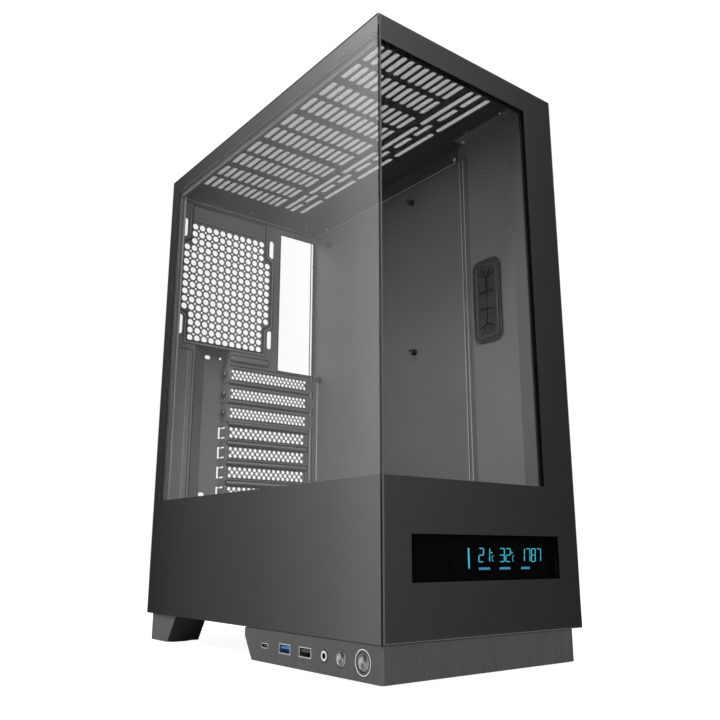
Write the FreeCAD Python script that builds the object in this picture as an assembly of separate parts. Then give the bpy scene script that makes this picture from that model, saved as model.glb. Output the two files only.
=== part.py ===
import FreeCAD, Part
import math
import os

# Tall computer case with a glass front and a glass side, a plinth under its
# front half with ports and buttons, and folded sheet steel inside.
# Millimetres. While it is drawn, x runs from the glass side to the steel side,
# y from the front glass to the rear, and z up from the floor. Each piece is
# moved at the end so that the origin lies under the middle of the whole case.

# Overall
case_width = 190.0
case_depth = 340.0
case_height = 454.0
sheet = 0.8
play = 0.3
seat_gap = 0.05

# Feet, plinth and pads
base_height = 22.0
pad_proud = 1.0
pad_recess = 1.0
pad_width = 16.0
pad_length = 40.0
plinth_right_step = 10.5
plinth_width = case_width - plinth_right_step
plinth_length = 160.5
plinth_inset = 0.5
plinth_wall = 2.5
plinth_end_drop = 5.8
plinth_end_slant = 10.6
plinth_corner = 1.6
foot_inset = 2.0
foot_width = 30.0
foot_from_rear = 9.0
foot_rear = case_depth - foot_from_rear
foot_top_length = 48.0
foot_bottom_length = 33.0
foot_wall = 2.4

# Glass panels and the steel frames glued behind them
glass_thickness = 4.0
glass_lift = 0.4
corner_gap = 0.6
frame_thickness = 2.0
border_top = 20.6
border_bottom = 100.4
border_side = 16.0
border_front = 34.4
frame_margin = 3.0
catch_pin_radius = 2.4
catch_neck_radius = 1.6
catch_pin_length = 5.0
catch_wall = 1.6
catch_flange = 1.2
catch_sides = 6

# Chassis
flange_drop = 15.2
shroud_below_top = 356.8
shroud_height = case_height - shroud_below_top
rear_recess = 2.0
cable_room = 10.0
tray_x = case_width - cable_room
wall_front = 20.0
wall_rear = 91.7
tray_front = 92.3
joint_lap = 12.0
rib_rise = 1.2
column_depth = 13.0

# Expansion slots and board fixings
slot_pitch = 20.32
slot_count = 7
removable_slots = 3
slots_below_top = 196.0
first_slot_z = case_height - slots_below_top
slot_from_tray = 8.0
slot_width = 99.5
slot_end_x = tray_x - slot_from_tray
slot_ledge_x = slot_end_x - slot_width
slot_half_height = 7.3
cover_half_height = 8.8
cover_from_tray = 1.5
cover_end_x = tray_x - cover_from_tray
tab_depth = 11.3
mesh_left = slot_ledge_x + 3.5
mesh_width = 91.3
mesh_columns = 8
mesh_rows = 2
mesh_radius = 3.0
tab_hole_radius = 1.8
pocket_depth = 12.0
pocket_width = 38.5
pocket_left = slot_ledge_x - pocket_width
pocket_slope = 15.4
pocket_below = 132.0
pocket_above = 24.0
board_rear_hole = 13.6
board_column = 157.48
board_upper_shift = 16.51
board_below_top = 35.2
board_upper_z = case_height - board_below_top
board_row_middle = 154.94
board_row_bottom = 281.94
standoff_height = 6.5
standoff_radius = 3.1
standoff_bore = 1.5

# Rear openings
io_width = 44.45
io_height = 158.75
io_gap_to_tray = 3.4
io_below_top = 183.6
io_bottom = case_height - io_below_top
fan_from_tray = 112.6
fan_x = tray_x - fan_from_tray
fan_below_top = 98.6
fan_z = case_height - fan_below_top
fan_hole_spacing = 105.0
fan_slot_length = 21.0
fan_slot_width = 5.2
vent_pitch = 8.1
vent_hole_radius = 3.8
vent_columns = 11
vent_rows = 16
vent_side_first = 3
vent_side_rows = 9
vent_sides = 4
vent_step = 1.6
psu_left = 14.0
psu_gap_below = 1.7
psu_width = 150.0
psu_height = 86.0
psu_edge = 3.5
psu_ear = 7.0
psu_screw_radius = 2.0

# Ceiling slots
ceiling_slot_width = 5.2
ceiling_slot_pitch = 7.78
ceiling_columns = 12
ceiling_first_x = 25.2
ceiling_margin = 25.0
ceiling_pairs = 5
ceiling_slot_gap = 4.6
ceiling_pair_gap = 7.8
ceiling_pair_pitch = (case_depth - 2 * ceiling_margin + ceiling_pair_gap + 2.2) / ceiling_pairs
ceiling_slot_length = (ceiling_pair_pitch - ceiling_slot_gap - ceiling_pair_gap) / 2
ceiling_pair_step = ceiling_slot_length + ceiling_slot_gap
ceiling_first_y = ceiling_margin + ceiling_slot_length / 2
long_slot_x = tray_x - 56.4
short_slot_x = tray_x - 48.1
far_slot_x = tray_x - 36.6
long_slot_count = 5
long_slot_gap = 4.5
filter_thickness = 1.7
filter_rim = 6.0
filter_mesh = 0.5

# Ports and buttons on the plinth, by their distance from the front
port_z = 12.2
usb_c_y = 132.1
usb_blue_y = 105.8
usb_black_y = 80.9
audio_y = 59.3
reset_y = 41.2
led_y = 30.0
power_y = 18.5
usb_a_width = 14.4
usb_a_height = 6.6
usb_a_depth = 14.0
usb_c_width = 9.4
usb_c_height = 3.6
usb_shell = 0.5
audio_radius = 4.6
audio_bore = 1.8
reset_radius = 5.2
power_radius = 5.5
ring_radius = 8.0
button_gap = 0.3
button_travel = 1.5
button_collar = 1.3
stem_radius = 1.8
button_length = 4.6
button_sides = 16
button_dish = 0.5
button_rim = 0.8
button_collar_width = 1.2
stem_length = 3.0
led_radius = 1.0
light_pipe_length = 9.0
board_thickness = 1.6

# Display behind the front glass
display_left = 24.3
display_right_step = 22.5
display_width = case_width - display_left - display_right_step
display_bottom = 58.4
display_height = 29.8
display_edge = 2.2
display_depth = 9.0

# Steel side panel
panel_top_fold = 7.0
panel_rear_fold = 11.0
bulge_height = 8.0
bulge_slope = 12.0
bulge_front = 34.0
bulge_from_rear = 28.0
bulge_rear = case_depth - bulge_from_rear
bulge_below = 62.0
bulge_below_top = 30.0
bulge_above = case_height - bulge_below_top
thumb_radius = 4.2
thumb_length = 6.0
thumb_shank = 1.75
thumb_shank_length = 8.0
thumb_fit = 0.06
thumb_low = 74.0
thumb_below_top = 50.0
thumb_high = case_height - thumb_below_top

# Rubber grommet in the wall beside the board
grommet_front = 54.3
grommet_width = 31.6
grommet_below_top = 200.4
grommet_bottom = case_height - grommet_below_top
grommet_height = 75.3
grommet_lip = 3.5
grommet_lip_thickness = 1.4
grommet_web = 1.2
slit = 0.9

# Drive cage and bottom filter
cage_left = 30.0
cage_length = 148.0
cage_front = 24.0
drive_width = 101.6
bay_height = 28.0
caddy_wall = 2.0
caddy_height = 12.0
drive_bays = 2
intake_left = 38.0
intake_width = 108.0
intake_length = 130.0
intake_from_rear = 14.0
intake_front = case_depth - intake_length - intake_from_rear
intake_slots = 9
bottom_filter_thickness = 3.0
rail_gap = 0.4
base_screw_head = 3.2
base_screw_head_height = 1.8
base_screw_radius = 1.5
base_screw_reach = 9.0
base_screw_room = 12.0
boss_radius = 4.0
pillar_radius = 2.5
rib_half = 1.5
rivet_radius = 1.7
rivet_rise = 0.7

# Levels and planes that follow from the sizes above
base_top = pad_proud + base_height
pan_top = base_top + sheet
glass_bottom = base_top + glass_lift
skin = glass_thickness + frame_thickness + play
ceiling = case_height - filter_thickness - play - sheet
flange_bottom = ceiling - flange_drop
shroud_top = pan_top + shroud_height
rear_outer = case_depth - rear_recess
rear_inner = rear_outer - sheet
panel_inner = case_width - sheet
chassis_right = panel_inner - play
column_left = case_width - border_front + frame_margin
pocket_top = first_slot_z + pocket_above
pocket_bottom = first_slot_z - pocket_below
pocket_outer = rear_outer + pocket_depth
board_rear = rear_inner - board_rear_hole
io_right = tray_x - io_gap_to_tray
rail_depth = bottom_filter_thickness + 2 * rail_gap + sheet
plinth_left = plinth_inset
plinth_front = plinth_inset
plinth_right = plinth_left + plinth_width
plinth_end = plinth_front + plinth_length
wall_inner = plinth_left + plinth_wall
foot_boss_x = foot_inset + foot_width / 2
foot_boss_y = foot_rear - 16.0
boss_places = [(plinth_left + 40, plinth_front + 14), (plinth_right - 14, plinth_front + 14),
               (plinth_left + 60, plinth_end - 20), (plinth_right - 14, plinth_end - 20)]
base_screw_places = boss_places + [(foot_boss_x, foot_boss_y), (case_width - foot_boss_x, foot_boss_y)]

origin_x = (case_width + bulge_height) / 2
origin_y = pocket_outer / 2

X_AXIS = FreeCAD.Vector(1, 0, 0)
Y_AXIS = FreeCAD.Vector(0, 1, 0)
Z_AXIS = FreeCAD.Vector(0, 0, 1)
AXES = {"x": X_AXIS, "y": Y_AXIS, "z": Z_AXIS}

os.makedirs("parts", exist_ok=True)


def block(x0, x1, y0, y1, z0, z1):
    """A box between two corners."""
    return Part.makeBox(x1 - x0, y1 - y0, z1 - z0, FreeCAD.Vector(x0, y0, z0))


def in_space(normal, level, u, v):
    """A point of a sheet: u and v are its other two coordinates in x, y, z order."""
    if normal == "x":
        return FreeCAD.Vector(level, u, v)
    if normal == "y":
        return FreeCAD.Vector(u, level, v)
    return FreeCAD.Vector(u, v, level)


def loop(normal, level, points):
    """A closed outline through points of a sheet."""
    corners = [in_space(normal, level, u, v) for u, v in points]
    return Part.makePolygon(corners + corners[:1])


def plate(normal, level, thickness, outline, holes=()):
    """A flat sheet with holes, its first face at level and its thickness along the axis."""
    outer = loop(normal, level, outline)
    inner = [loop(normal, level, hole) for hole in holes]
    face = Part.makeFace([outer] + inner, "Part::FaceMakerCheese")
    return face.extrude(AXES[normal] * thickness)


def rectangle(u0, u1, v0, v1):
    """The corners of a rectangle."""
    return [(u0, v0), (u1, v0), (u1, v1), (u0, v1)]


def cut_corners(u0, u1, v0, v1, size):
    """A rectangle with its corners cut off at 45 degrees."""
    return [(u0 + size, v0), (u1 - size, v0), (u1, v0 + size), (u1, v1 - size),
            (u1 - size, v1), (u0 + size, v1), (u0, v1 - size), (u0, v0 + size)]


def rounded(u0, u1, v0, v1, radius, steps=3):
    """A rectangle whose corners are short chords of an arc."""
    points = []
    centres = [(u1 - radius, v0 + radius, -90), (u1 - radius, v1 - radius, 0),
               (u0 + radius, v1 - radius, 90), (u0 + radius, v0 + radius, 180)]
    for u, v, start in centres:
        for step in range(steps + 1):
            angle = math.radians(start + 90 * step / steps)
            points.append((u + radius * math.cos(angle), v + radius * math.sin(angle)))
    return points


def round_hole(u, v, radius, sides):
    """A regular polygon that stands for a punched round hole."""
    turn = math.pi / sides
    return [(u + radius * math.cos(turn + 2 * math.pi * side / sides),
             v + radius * math.sin(turn + 2 * math.pi * side / sides)) for side in range(sides)]


def pointed_slot(u, v, length, width):
    """A slot along v with two chords at each end."""
    half = width / 2
    end = length / 2
    return [(u - half, v - end + half), (u, v - end), (u + half, v - end + half),
            (u + half, v + end - half), (u, v + end), (u - half, v + end - half)]


def rod(axis, x, y, z, radius, length):
    """A round bar that starts at a point and runs along an axis."""
    return Part.makeCylinder(radius, length, FreeCAD.Vector(x, y, z), AXES[axis])


def prism(axis, x, y, z, radius, length, sides):
    """A bar with flat sides that starts at a point and runs along an axis."""
    level = {"x": x, "y": y, "z": z}[axis]
    u, v = {"x": (y, z), "y": (x, z), "z": (x, y)}[axis]
    return plate(axis, level, length, round_hole(u, v, radius, sides))


def obround_bar(axis, x, y, z, length, width, depth):
    """A bar of obround section, long along z, that starts at a point and runs along an axis."""
    straight = length - width
    u = {"x": y, "y": x}[axis]
    level = {"x": x, "y": y}[axis]
    middle = plate(axis, level, depth, rectangle(u - width / 2, u + width / 2,
                                                 z - straight / 2, z + straight / 2))
    low = rod(axis, x, y, z - straight / 2, width / 2, depth)
    high = rod(axis, x, y, z + straight / 2, width / 2, depth)
    return middle.fuse([low, high]).removeSplitter()


def save(name, shape):
    """Moves a finished piece to the case's own origin and writes it."""
    if isinstance(shape, (list, tuple)):
        shape = Part.makeCompound(list(shape))
    shape.translate(FreeCAD.Vector(-origin_x, -origin_y, 0))
    shape.exportStep("parts/" + name + ".step")


def mirrored(shape):
    """The same piece on the other side of the glass-to-glass width."""
    return shape.mirror(FreeCAD.Vector(case_width / 2, 0, 0), X_AXIS)


# Glass panels. Each has a steel frame glued round its back, and the two meet in a mitre.

def glass_panel(length, along_front):
    """A glass sheet whose corner edge is cut at 45 degrees."""
    start = corner_gap / 2
    end = start + glass_thickness
    corners = [(start, 0), (length, 0), (length, glass_thickness), (end, glass_thickness)]
    if not along_front:
        corners = [(v, u) for u, v in corners]
    return plate("z", glass_bottom, case_height - glass_bottom, corners)


def catch_hole(axis, x, y, z, length):
    """The room for a catch pin in a sheet or a clip."""
    reach = (catch_pin_radius + play) / math.cos(math.pi / catch_sides)
    return prism(axis, x, y, z, reach, length, catch_sides)


def catch_pin(axis, x, y, z):
    """A pin with a thick foot, a neck and a head that snaps into a clip."""
    foot_length = catch_pin_radius * 0.6
    head_start = catch_pin_length - foot_length
    if axis == "x":
        neck_at, head_at = (x + foot_length, y, z), (x + head_start, y, z)
    else:
        neck_at, head_at = (x, y + foot_length, z), (x, y + head_start, z)
    foot = prism(axis, x, y, z, catch_pin_radius, foot_length, catch_sides)
    neck = prism(axis, *neck_at, catch_neck_radius, head_start - foot_length, catch_sides)
    head = prism(axis, *head_at, catch_pin_radius, foot_length, catch_sides)
    return foot.fuse([neck, head])


def catch_clip(axis, x, y, z):
    """A plastic clip behind the sheet that grips a catch pin."""
    bore = catch_pin_radius + play
    outer = prism(axis, x, y, z, bore + catch_wall, catch_pin_length, catch_sides)
    lip = prism(axis, x, y, z, bore + catch_wall + catch_flange, sheet, catch_sides)
    return outer.fuse(lip).cut(catch_hole(axis, x, y, z, catch_pin_length))


catch_top = case_height - border_top / 2
catch_low = pan_top + 62.0
catch_rear = rear_inner - 19.0
side_catches = [(30.0, catch_top), (catch_rear, catch_top), (30.0, catch_low), (catch_rear, catch_low)]
front_catches = [(30.0, catch_top), (case_width - 17.0, catch_top),
                 (14.5, catch_low + 26.0), (case_width - 17.0, catch_low + 26.0)]
frame_bottom = glass_bottom + frame_margin
frame_top = case_height - frame_margin

side_glass = glass_panel(case_depth, False)
save("side_glass", side_glass)

frame_front = 2 * glass_thickness
frame_rear = case_depth - frame_margin
side_outline = [
    (frame_front, frame_bottom), (frame_rear, frame_bottom), (frame_rear, frame_top),
    (frame_front, frame_top), (frame_front, case_height - border_top + 1),
    (case_depth - border_side, case_height - border_top + 1),
    (case_depth - border_side, glass_bottom + border_bottom - 1),
    (frame_front, glass_bottom + border_bottom - 1)]
side_frame = plate("x", glass_thickness, frame_thickness, side_outline)
pins = [catch_pin("x", glass_thickness + frame_thickness, y, z) for y, z in side_catches]
save("side_glass_frame", side_frame.fuse(pins))

front_glass = glass_panel(case_width, True)
save("front_glass", front_glass)

frame_right = case_width - frame_margin - 1
front_outline = [
    (frame_front, frame_bottom), (frame_right, frame_bottom), (frame_right, frame_top),
    (frame_front, frame_top), (frame_front, case_height - border_top + 1),
    (case_width - border_front + 1, case_height - border_top + 1),
    (case_width - border_front + 1, glass_bottom + border_bottom - 1),
    (frame_front, glass_bottom + border_bottom - 1)]
display_hole = rectangle(
    display_left - display_edge - play, display_left + display_width + display_edge + play,
    display_bottom - display_edge - play, display_bottom + display_height + display_edge + play)
front_frame_plate = plate("y", glass_thickness, frame_thickness, front_outline, [display_hole])
pins = [catch_pin("y", x, glass_thickness + frame_thickness, z) for x, z in front_catches]
save("front_glass_frame", front_frame_plate.fuse(pins))

# Display: a shallow housing with the lit window glued to the back of the front glass.

housing = block(display_left - display_edge, display_left + display_width + display_edge,
                glass_thickness + sheet, glass_thickness + display_depth,
                display_bottom - display_edge, display_bottom + display_height + display_edge)
window = block(display_left, display_left + display_width, glass_thickness, glass_thickness + sheet,
               display_bottom, display_bottom + display_height)
save("display_window", window)
relief = block(display_left, display_left + display_width, glass_thickness + display_depth - 2 * sheet,
               glass_thickness + display_depth, display_bottom, display_bottom + display_height)
save("display_housing", housing.cut(relief))

# Bottom pan: one folded sheet with upturned edges, an intake grille and two filter rails.

flange_up = 12.0
pan_holes = []
intake_step = intake_width / intake_slots
for index in range(intake_slots):
    middle = intake_left + intake_step * (index + 0.5)
    for half in (0, 1):
        centre = intake_front + intake_length * (0.25 + 0.5 * half)
        half_width = intake_step / 2 - 2
        half_length = intake_length / 4 - 2
        pan_holes.append(rectangle(middle - half_width, middle + half_width,
                                   centre - half_length, centre + half_length))
pan_holes += [round_hole(x, y, base_screw_radius + play, 6) for x, y in base_screw_places]
pan = plate("z", base_top, sheet, rectangle(skin, chassis_right, skin, rear_outer), pan_holes)
pan_left = block(skin, skin + sheet, skin + sheet, rear_inner, pan_top, pan_top + flange_up)
pan_right = block(chassis_right - sheet, chassis_right, skin + sheet, rear_inner, pan_top, pan_top + flange_up)
filter_left = intake_left - 3
filter_right = intake_left + intake_width + 3
filter_top = base_top - rail_gap
rails = []
for edge, out in ((filter_left, -1), (filter_right, 1)):
    web = edge + out * (rail_gap + sheet)
    inner = edge - out * 3
    near = edge + out * rail_gap
    rails.append(block(min(near, web), max(near, web), intake_front, intake_front + intake_length,
                       base_top - rail_depth, base_top))
    rails.append(block(min(inner, web), max(inner, web), intake_front, intake_front + intake_length,
                       base_top - rail_depth, base_top - rail_depth + sheet))
save("bottom_pan", pan.fuse([pan_left, pan_right] + rails).removeSplitter())

# Bottom dust filter: a slim frame with a mesh skin and a pull lip at the rear.

filter_front = intake_front
filter_rear = rear_outer
filter_low = filter_top - bottom_filter_thickness
frame_ring = plate("z", filter_low, bottom_filter_thickness,
                   rectangle(filter_left, filter_right, filter_front, filter_rear),
                   [rectangle(filter_left + 5, filter_right - 5, filter_front + 5, filter_rear - 12)])
skin_sheet = block(filter_left + 5, filter_right - 5, filter_front + 5, filter_rear - 12,
                   filter_low + 1, filter_low + 1 + filter_mesh)
pull = block((filter_left + filter_right) / 2 - 20, (filter_left + filter_right) / 2 + 20,
             filter_rear - 2, filter_rear, filter_low - 3, filter_low)
save("bottom_filter", frame_ring.fuse([skin_sheet, pull]).removeSplitter())

# Rear panel: one pressed sheet with the fan grille, the port cut-out, the slot
# pocket, four break-off slot covers and the power supply cut-out.

def slot_z(index):
    """The middle height of an expansion slot, counted from the top."""
    return first_slot_z - slot_pitch * index


def vent_holes():
    """The fan grille's holes on a square grid, with one more column on each side."""
    holes = []
    left = fan_x - vent_pitch * (vent_columns - 1) / 2
    top = fan_z + vent_pitch * (vent_side_first + (vent_side_rows - 1) / 2)
    for row in range(vent_rows):
        in_side = vent_side_first <= row < vent_side_first + vent_side_rows
        first = -1 if in_side else 0
        last = vent_columns if in_side else vent_columns - 1
        for column in range(first, last + 1):
            holes.append(round_hole(left + vent_pitch * column, top - vent_pitch * row,
                                    vent_hole_radius, vent_sides))
    return holes


def vent_field(grow):
    """The stepped outline of the pressed field round the grille."""
    half_narrow = vent_pitch * vent_columns / 2 + 0.6 + grow
    half_wide = half_narrow + vent_pitch
    top = fan_z + vent_pitch * (vent_side_first + vent_side_rows / 2) + 20.0 + grow
    bottom = fan_z + vent_pitch * (vent_side_first + vent_side_rows / 2 - vent_rows) - grow
    upper = fan_z + vent_pitch * vent_side_rows / 2 + grow
    lower = fan_z - vent_pitch * vent_side_rows / 2 - grow
    bevel = 5.0
    right = [(half_narrow, top), (half_narrow, upper + bevel), (half_wide, upper),
             (half_wide, lower), (half_narrow, lower - bevel), (half_narrow, bottom)]
    points = [(fan_x + u, v) for u, v in right]
    points += [(fan_x - u, v) for u, v in reversed(right)]
    return points


def psu_opening():
    """The power supply cut-out, with an ear left round each of its four screws."""
    left = psu_left + psu_edge
    right = psu_left + psu_width - psu_edge
    bottom = pan_top + psu_gap_below + psu_edge
    top = pan_top + psu_gap_below + psu_height - psu_edge
    (ax, az), (bx, bz), (cx, cz), (dx, dz) = psu_screws
    upper = [(left, cz + psu_ear), (left, az - psu_ear), (ax + psu_ear, az - psu_ear), (ax + psu_ear, top),
             (bx - psu_ear, top), (bx - psu_ear, bz - psu_ear), (right, bz - psu_ear)]
    lower = [(right, dz + psu_ear), (dx - psu_ear, dz + psu_ear), (dx - psu_ear, bottom),
             (cx + psu_ear, bottom), (cx + psu_ear, cz + psu_ear)]
    return upper + lower


def slot_mesh(z):
    """Staggered diamond holes across the slot cover whose middle is at a height."""
    holes = []
    step = mesh_width / mesh_columns
    rise = mesh_radius + 1.0
    for row in range(mesh_rows):
        shift = 0.5 * (row % 2)
        for column in range(mesh_columns - row % 2):
            holes.append(round_hole(mesh_left + step * (column + 0.5 + shift),
                                    z + rise * (row - (mesh_rows - 1) / 2), mesh_radius, 4))
    return holes


psu_base = pan_top + psu_gap_below
psu_screws = [(psu_left + 6, psu_base + 80), (psu_left + 144, psu_base + 80),
              (psu_left + 6, psu_base + 16), (psu_left + 120, psu_base + 6)]

rear_holes = [vent_field(0), psu_opening(),
              rectangle(io_right - io_width, io_right, io_bottom, io_bottom + io_height),
              rectangle(pocket_left, slot_ledge_x, pocket_bottom, pocket_top)]
for index in range(slot_count):
    if index < removable_slots:
        rear_holes.append(rectangle(slot_ledge_x + sheet, slot_end_x, slot_z(index) - slot_half_height,
                                    slot_z(index) + slot_half_height))
    else:
        rear_holes += slot_mesh(slot_z(index))
rear = plate("y", rear_inner, sheet, rectangle(skin, chassis_right, pan_top, ceiling), rear_holes)

field = plate("y", rear_inner + vent_step, sheet, vent_field(0), vent_holes())
field_wall = plate("y", rear_inner, vent_step + sheet, vent_field(sheet), [vent_field(0)])

pocket_outline = [(pocket_left, rear_inner), (pocket_left + pocket_slope, pocket_outer - sheet),
                  (slot_ledge_x, pocket_outer - sheet), (slot_ledge_x, rear_inner),
                  (slot_ledge_x + sheet, rear_inner), (slot_ledge_x + sheet, pocket_outer),
                  (pocket_left + pocket_slope - sheet / 2, pocket_outer), (pocket_left - sheet, rear_inner)]
pocket = plate("z", pocket_bottom, pocket_top - pocket_bottom, pocket_outline)
pocket_lid = [(pocket_left - sheet, rear_inner), (slot_ledge_x + sheet, rear_inner),
              (slot_ledge_x + sheet, pocket_outer), (pocket_left + pocket_slope - sheet / 2, pocket_outer)]
pocket_ends = [plate("z", pocket_top, sheet, pocket_lid), plate("z", pocket_bottom - sheet, sheet, pocket_lid)]

flange_depth = 16.0
left_flange = block(skin, skin + sheet, rear_inner - flange_depth, rear_inner,
                    shroud_top + play, flange_bottom - play)
right_flange = block(chassis_right - sheet, chassis_right, rear_inner - flange_up, rear_inner,
                     pan_top + flange_up + play, ceiling)
ribs = []
for index in range(removable_slots, slot_count):
    middle = slot_z(index) + slot_pitch / 2 - 0.6
    ribs.append(plate("y", rear_inner - rib_rise, rib_rise,
                      cut_corners(slot_ledge_x + 1.5, slot_end_x + 1,
                                  middle - rib_half, middle + rib_half, 1.2)))
ribs.append(plate("y", rear_inner - rib_rise, rib_rise,
                  cut_corners(slot_ledge_x + 1.5, slot_ledge_x + 46,
                              pocket_top - 9.5, pocket_top - 3.5, 2.2)))
rear = rear.fuse([field, field_wall, pocket, left_flange, right_flange] + pocket_ends + ribs)

cuts = []
for side in (-1, 1):
    for rise in (-1, 1):
        cuts.append(obround_bar("y", fan_x + side * fan_hole_spacing / 2, rear_inner - 1,
                                fan_z + rise * fan_hole_spacing / 2,
                                fan_slot_length, fan_slot_width, sheet + 2))
for x, z in psu_screws:
    cuts.append(rod("y", x, rear_inner - 1, z, psu_screw_radius, sheet + 2))
slit_end = rear_inner + tab_depth - 0.5
for index in range(removable_slots, slot_count):
    low = slot_z(index) - 5.6
    high = slot_z(index) + 5.6
    reach = rear_inner + 3.6
    c_slit = [(slit_end, low), (slit_end, high), (reach, high), (reach, high - 1.3),
              (slit_end - 1.3, high - 1.3), (slit_end - 1.3, low + 1.3), (reach, low + 1.3), (reach, low)]
    cuts.append(plate("x", slot_ledge_x - 1, sheet + 2, c_slit))
tab_screw_y = rear_outer + 6.0
for index in range(removable_slots):
    cuts.append(prism("x", slot_ledge_x - 1, tab_screw_y, slot_z(index), tab_hole_radius, sheet + 2, 8))
for z in (pocket_top - 6.5, pocket_bottom + 7.5):
    cuts.append(plate("y", pocket_outer - sheet - 1, sheet + 2, cut_corners(50.0, 56.5, z - 2.0, z + 2.0, 1.4)))
thumb_x = tray_x + sheet + 3.8
for z in (thumb_low, thumb_high):
    cuts.append(rod("y", thumb_x, rear_inner - 1, z, thumb_shank + thumb_fit, sheet + 2))
for y, z in side_catches[1:2] + side_catches[3:]:
    cuts.append(catch_hole("x", skin - 1, y, z, sheet + 2))
save("rear_panel", rear.cut(cuts).removeSplitter())

# Screwed slot covers: a perforated strip with a folded tab that rests on the pocket's ledge.

for index in range(removable_slots):
    z = slot_z(index)
    strip = plate("y", rear_inner - sheet, sheet,
                  [(slot_ledge_x - sheet, z - cover_half_height), (slot_end_x + 1, z - cover_half_height),
                   (cover_end_x, z - 5.0), (cover_end_x, z + 5.0), (slot_end_x + 1, z + cover_half_height),
                   (slot_ledge_x - sheet, z + cover_half_height)], slot_mesh(z))
    tab = plate("x", slot_ledge_x - sheet, sheet,
                cut_corners(rear_inner - sheet, rear_inner + tab_depth, z - cover_half_height,
                            z + cover_half_height, 1.0))
    tab = tab.cut(prism("x", slot_ledge_x - sheet - 1, tab_screw_y, z, tab_hole_radius, sheet + 2, 8))
    save("slot_cover_%d" % (index + 1), strip.fuse(tab).removeSplitter())

screws = []
for index in range(removable_slots):
    z = slot_z(index)
    head = prism("x", slot_ledge_x - sheet - 2.4, tab_screw_y, z, 3.4, 2.4, 12)
    shank = prism("x", slot_ledge_x - sheet, tab_screw_y, z, 1.5, 6.0, 8)
    screws.append(head.fuse(shank))
save("slot_screws", screws)

# Ceiling: one sheet with its edges folded down and rows of slots for fans or a radiator.

def plain_slot(x, y, length):
    """One ceiling slot, square at its ends."""
    half = ceiling_slot_width / 2
    return rectangle(x - half, x + half, y - length / 2, y + length / 2)


def ceiling_slots():
    """The slot fields: pairs of short rows on the glass side, then long and short rows by the tray."""
    holes = []
    columns = [ceiling_first_x + ceiling_slot_pitch * column for column in range(ceiling_columns)]
    for pair in range(ceiling_pairs):
        for step in (0, ceiling_pair_step):
            y = ceiling_first_y + ceiling_pair_pitch * pair + step
            for x in columns + [short_slot_x]:
                holes.append(plain_slot(x, y, ceiling_slot_length))
    reach = case_depth - 2 * ceiling_margin
    length = (reach + long_slot_gap) / long_slot_count - long_slot_gap
    for index in range(long_slot_count):
        y = ceiling_margin + length / 2 + (length + long_slot_gap) * index
        for x in (long_slot_x, far_slot_x):
            holes.append(plain_slot(x, y, length))
    return holes


top = plate("z", ceiling, sheet, rectangle(skin, tray_x, skin, rear_outer), ceiling_slots())
left_rail = block(skin, skin + sheet, skin, rear_inner, flange_bottom, ceiling)
front_fold = block(skin, column_left - play, skin, skin + sheet, flange_bottom, ceiling)
rear_fold = block(skin + sheet + play, tray_x - sheet - play, rear_inner - sheet, rear_inner,
                  flange_bottom, ceiling)
tray_fold = block(tray_x - sheet, tray_x, tray_front + 8, rear_inner - sheet, flange_bottom, ceiling)
top = top.fuse([left_rail, front_fold, rear_fold, tray_fold])
cuts = [catch_hole("x", skin - 1, y, z, sheet + 2) for y, z in side_catches[:2]]
cuts += [catch_hole("y", x, skin - 1, z, sheet + 2) for x, z in front_catches[:1]]
save("top_panel", top.cut(cuts).removeSplitter())

# Magnetic dust filter that lies on the ceiling: a thin frame and a fine mesh.

filter_bottom = ceiling + sheet
lid_left = skin + 4
lid_right = tray_x + 2
lid_front = skin + 4
lid_rear = rear_outer - 4
opening = rectangle(lid_left + filter_rim, lid_right - filter_rim,
                    lid_front + filter_rim, lid_rear - filter_rim)
rim = plate("z", filter_bottom, filter_thickness,
            rounded(lid_left, lid_right, lid_front, lid_rear, 5.0), [opening])
mesh = block(lid_left + filter_rim, lid_right - filter_rim, lid_front + filter_rim, lid_rear - filter_rim,
             filter_bottom + 0.4, filter_bottom + 0.4 + filter_mesh)
save("top_filter", rim.fuse(mesh).removeSplitter())

# Motherboard tray: a folded sheet with a stiffening bead at its front edge.

bead_top = tray_x - rib_rise
bead_outline = [(tray_x, tray_front), (tray_x, tray_front + 2.4), (bead_top, tray_front + 3.6),
                (bead_top, tray_front + 5.2), (tray_x, tray_front + 6.4), (tray_x, rear_inner),
                (tray_x + sheet, rear_inner), (tray_x + sheet, tray_front + 6.2),
                (bead_top + sheet, tray_front + 5.0), (bead_top + sheet, tray_front + 3.8),
                (tray_x + sheet, tray_front + 2.6), (tray_x + sheet, tray_front)]
tray = plate("z", shroud_top, ceiling - shroud_top, bead_outline)
tray_foot = block(tray_x, tray_x + sheet, tray_front, rear_inner, pan_top, shroud_top)
tray_head = block(tray_x, tray_x + sheet, tray_front, rear_outer, ceiling, ceiling + sheet)
tray_top = block(tray_x + sheet, chassis_right, tray_front, rear_outer, ceiling, ceiling + sheet)
tray_access = block(tray_x - 5, tray_x + 5, tray_front + 26, rear_inner - 16,
                    pan_top + flange_up, shroud_top - 9)
save("motherboard_tray", tray.fuse([tray_foot, tray_head, tray_top]).cut(tray_access).removeSplitter())

# Standoffs: six brass pillars pressed into the tray.

rear_column = board_rear
middle_column = board_rear - board_column
board_bottom_z = board_upper_z - board_row_bottom
board_middle_z = board_upper_z - board_row_middle
board_holes = [(middle_column, board_upper_z), (rear_column - board_upper_shift, board_upper_z),
               (middle_column, board_middle_z), (rear_column, board_middle_z),
               (middle_column, board_bottom_z), (rear_column, board_bottom_z)]
standoffs = []
for y, z in board_holes:
    pillar = prism("x", tray_x - standoff_height, y, z, standoff_radius, standoff_height, 6)
    bore = rod("x", tray_x - standoff_height - 1, y, z, standoff_bore, standoff_height + 2)
    standoffs.append(pillar.cut(bore))
save("standoffs", standoffs)

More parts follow.
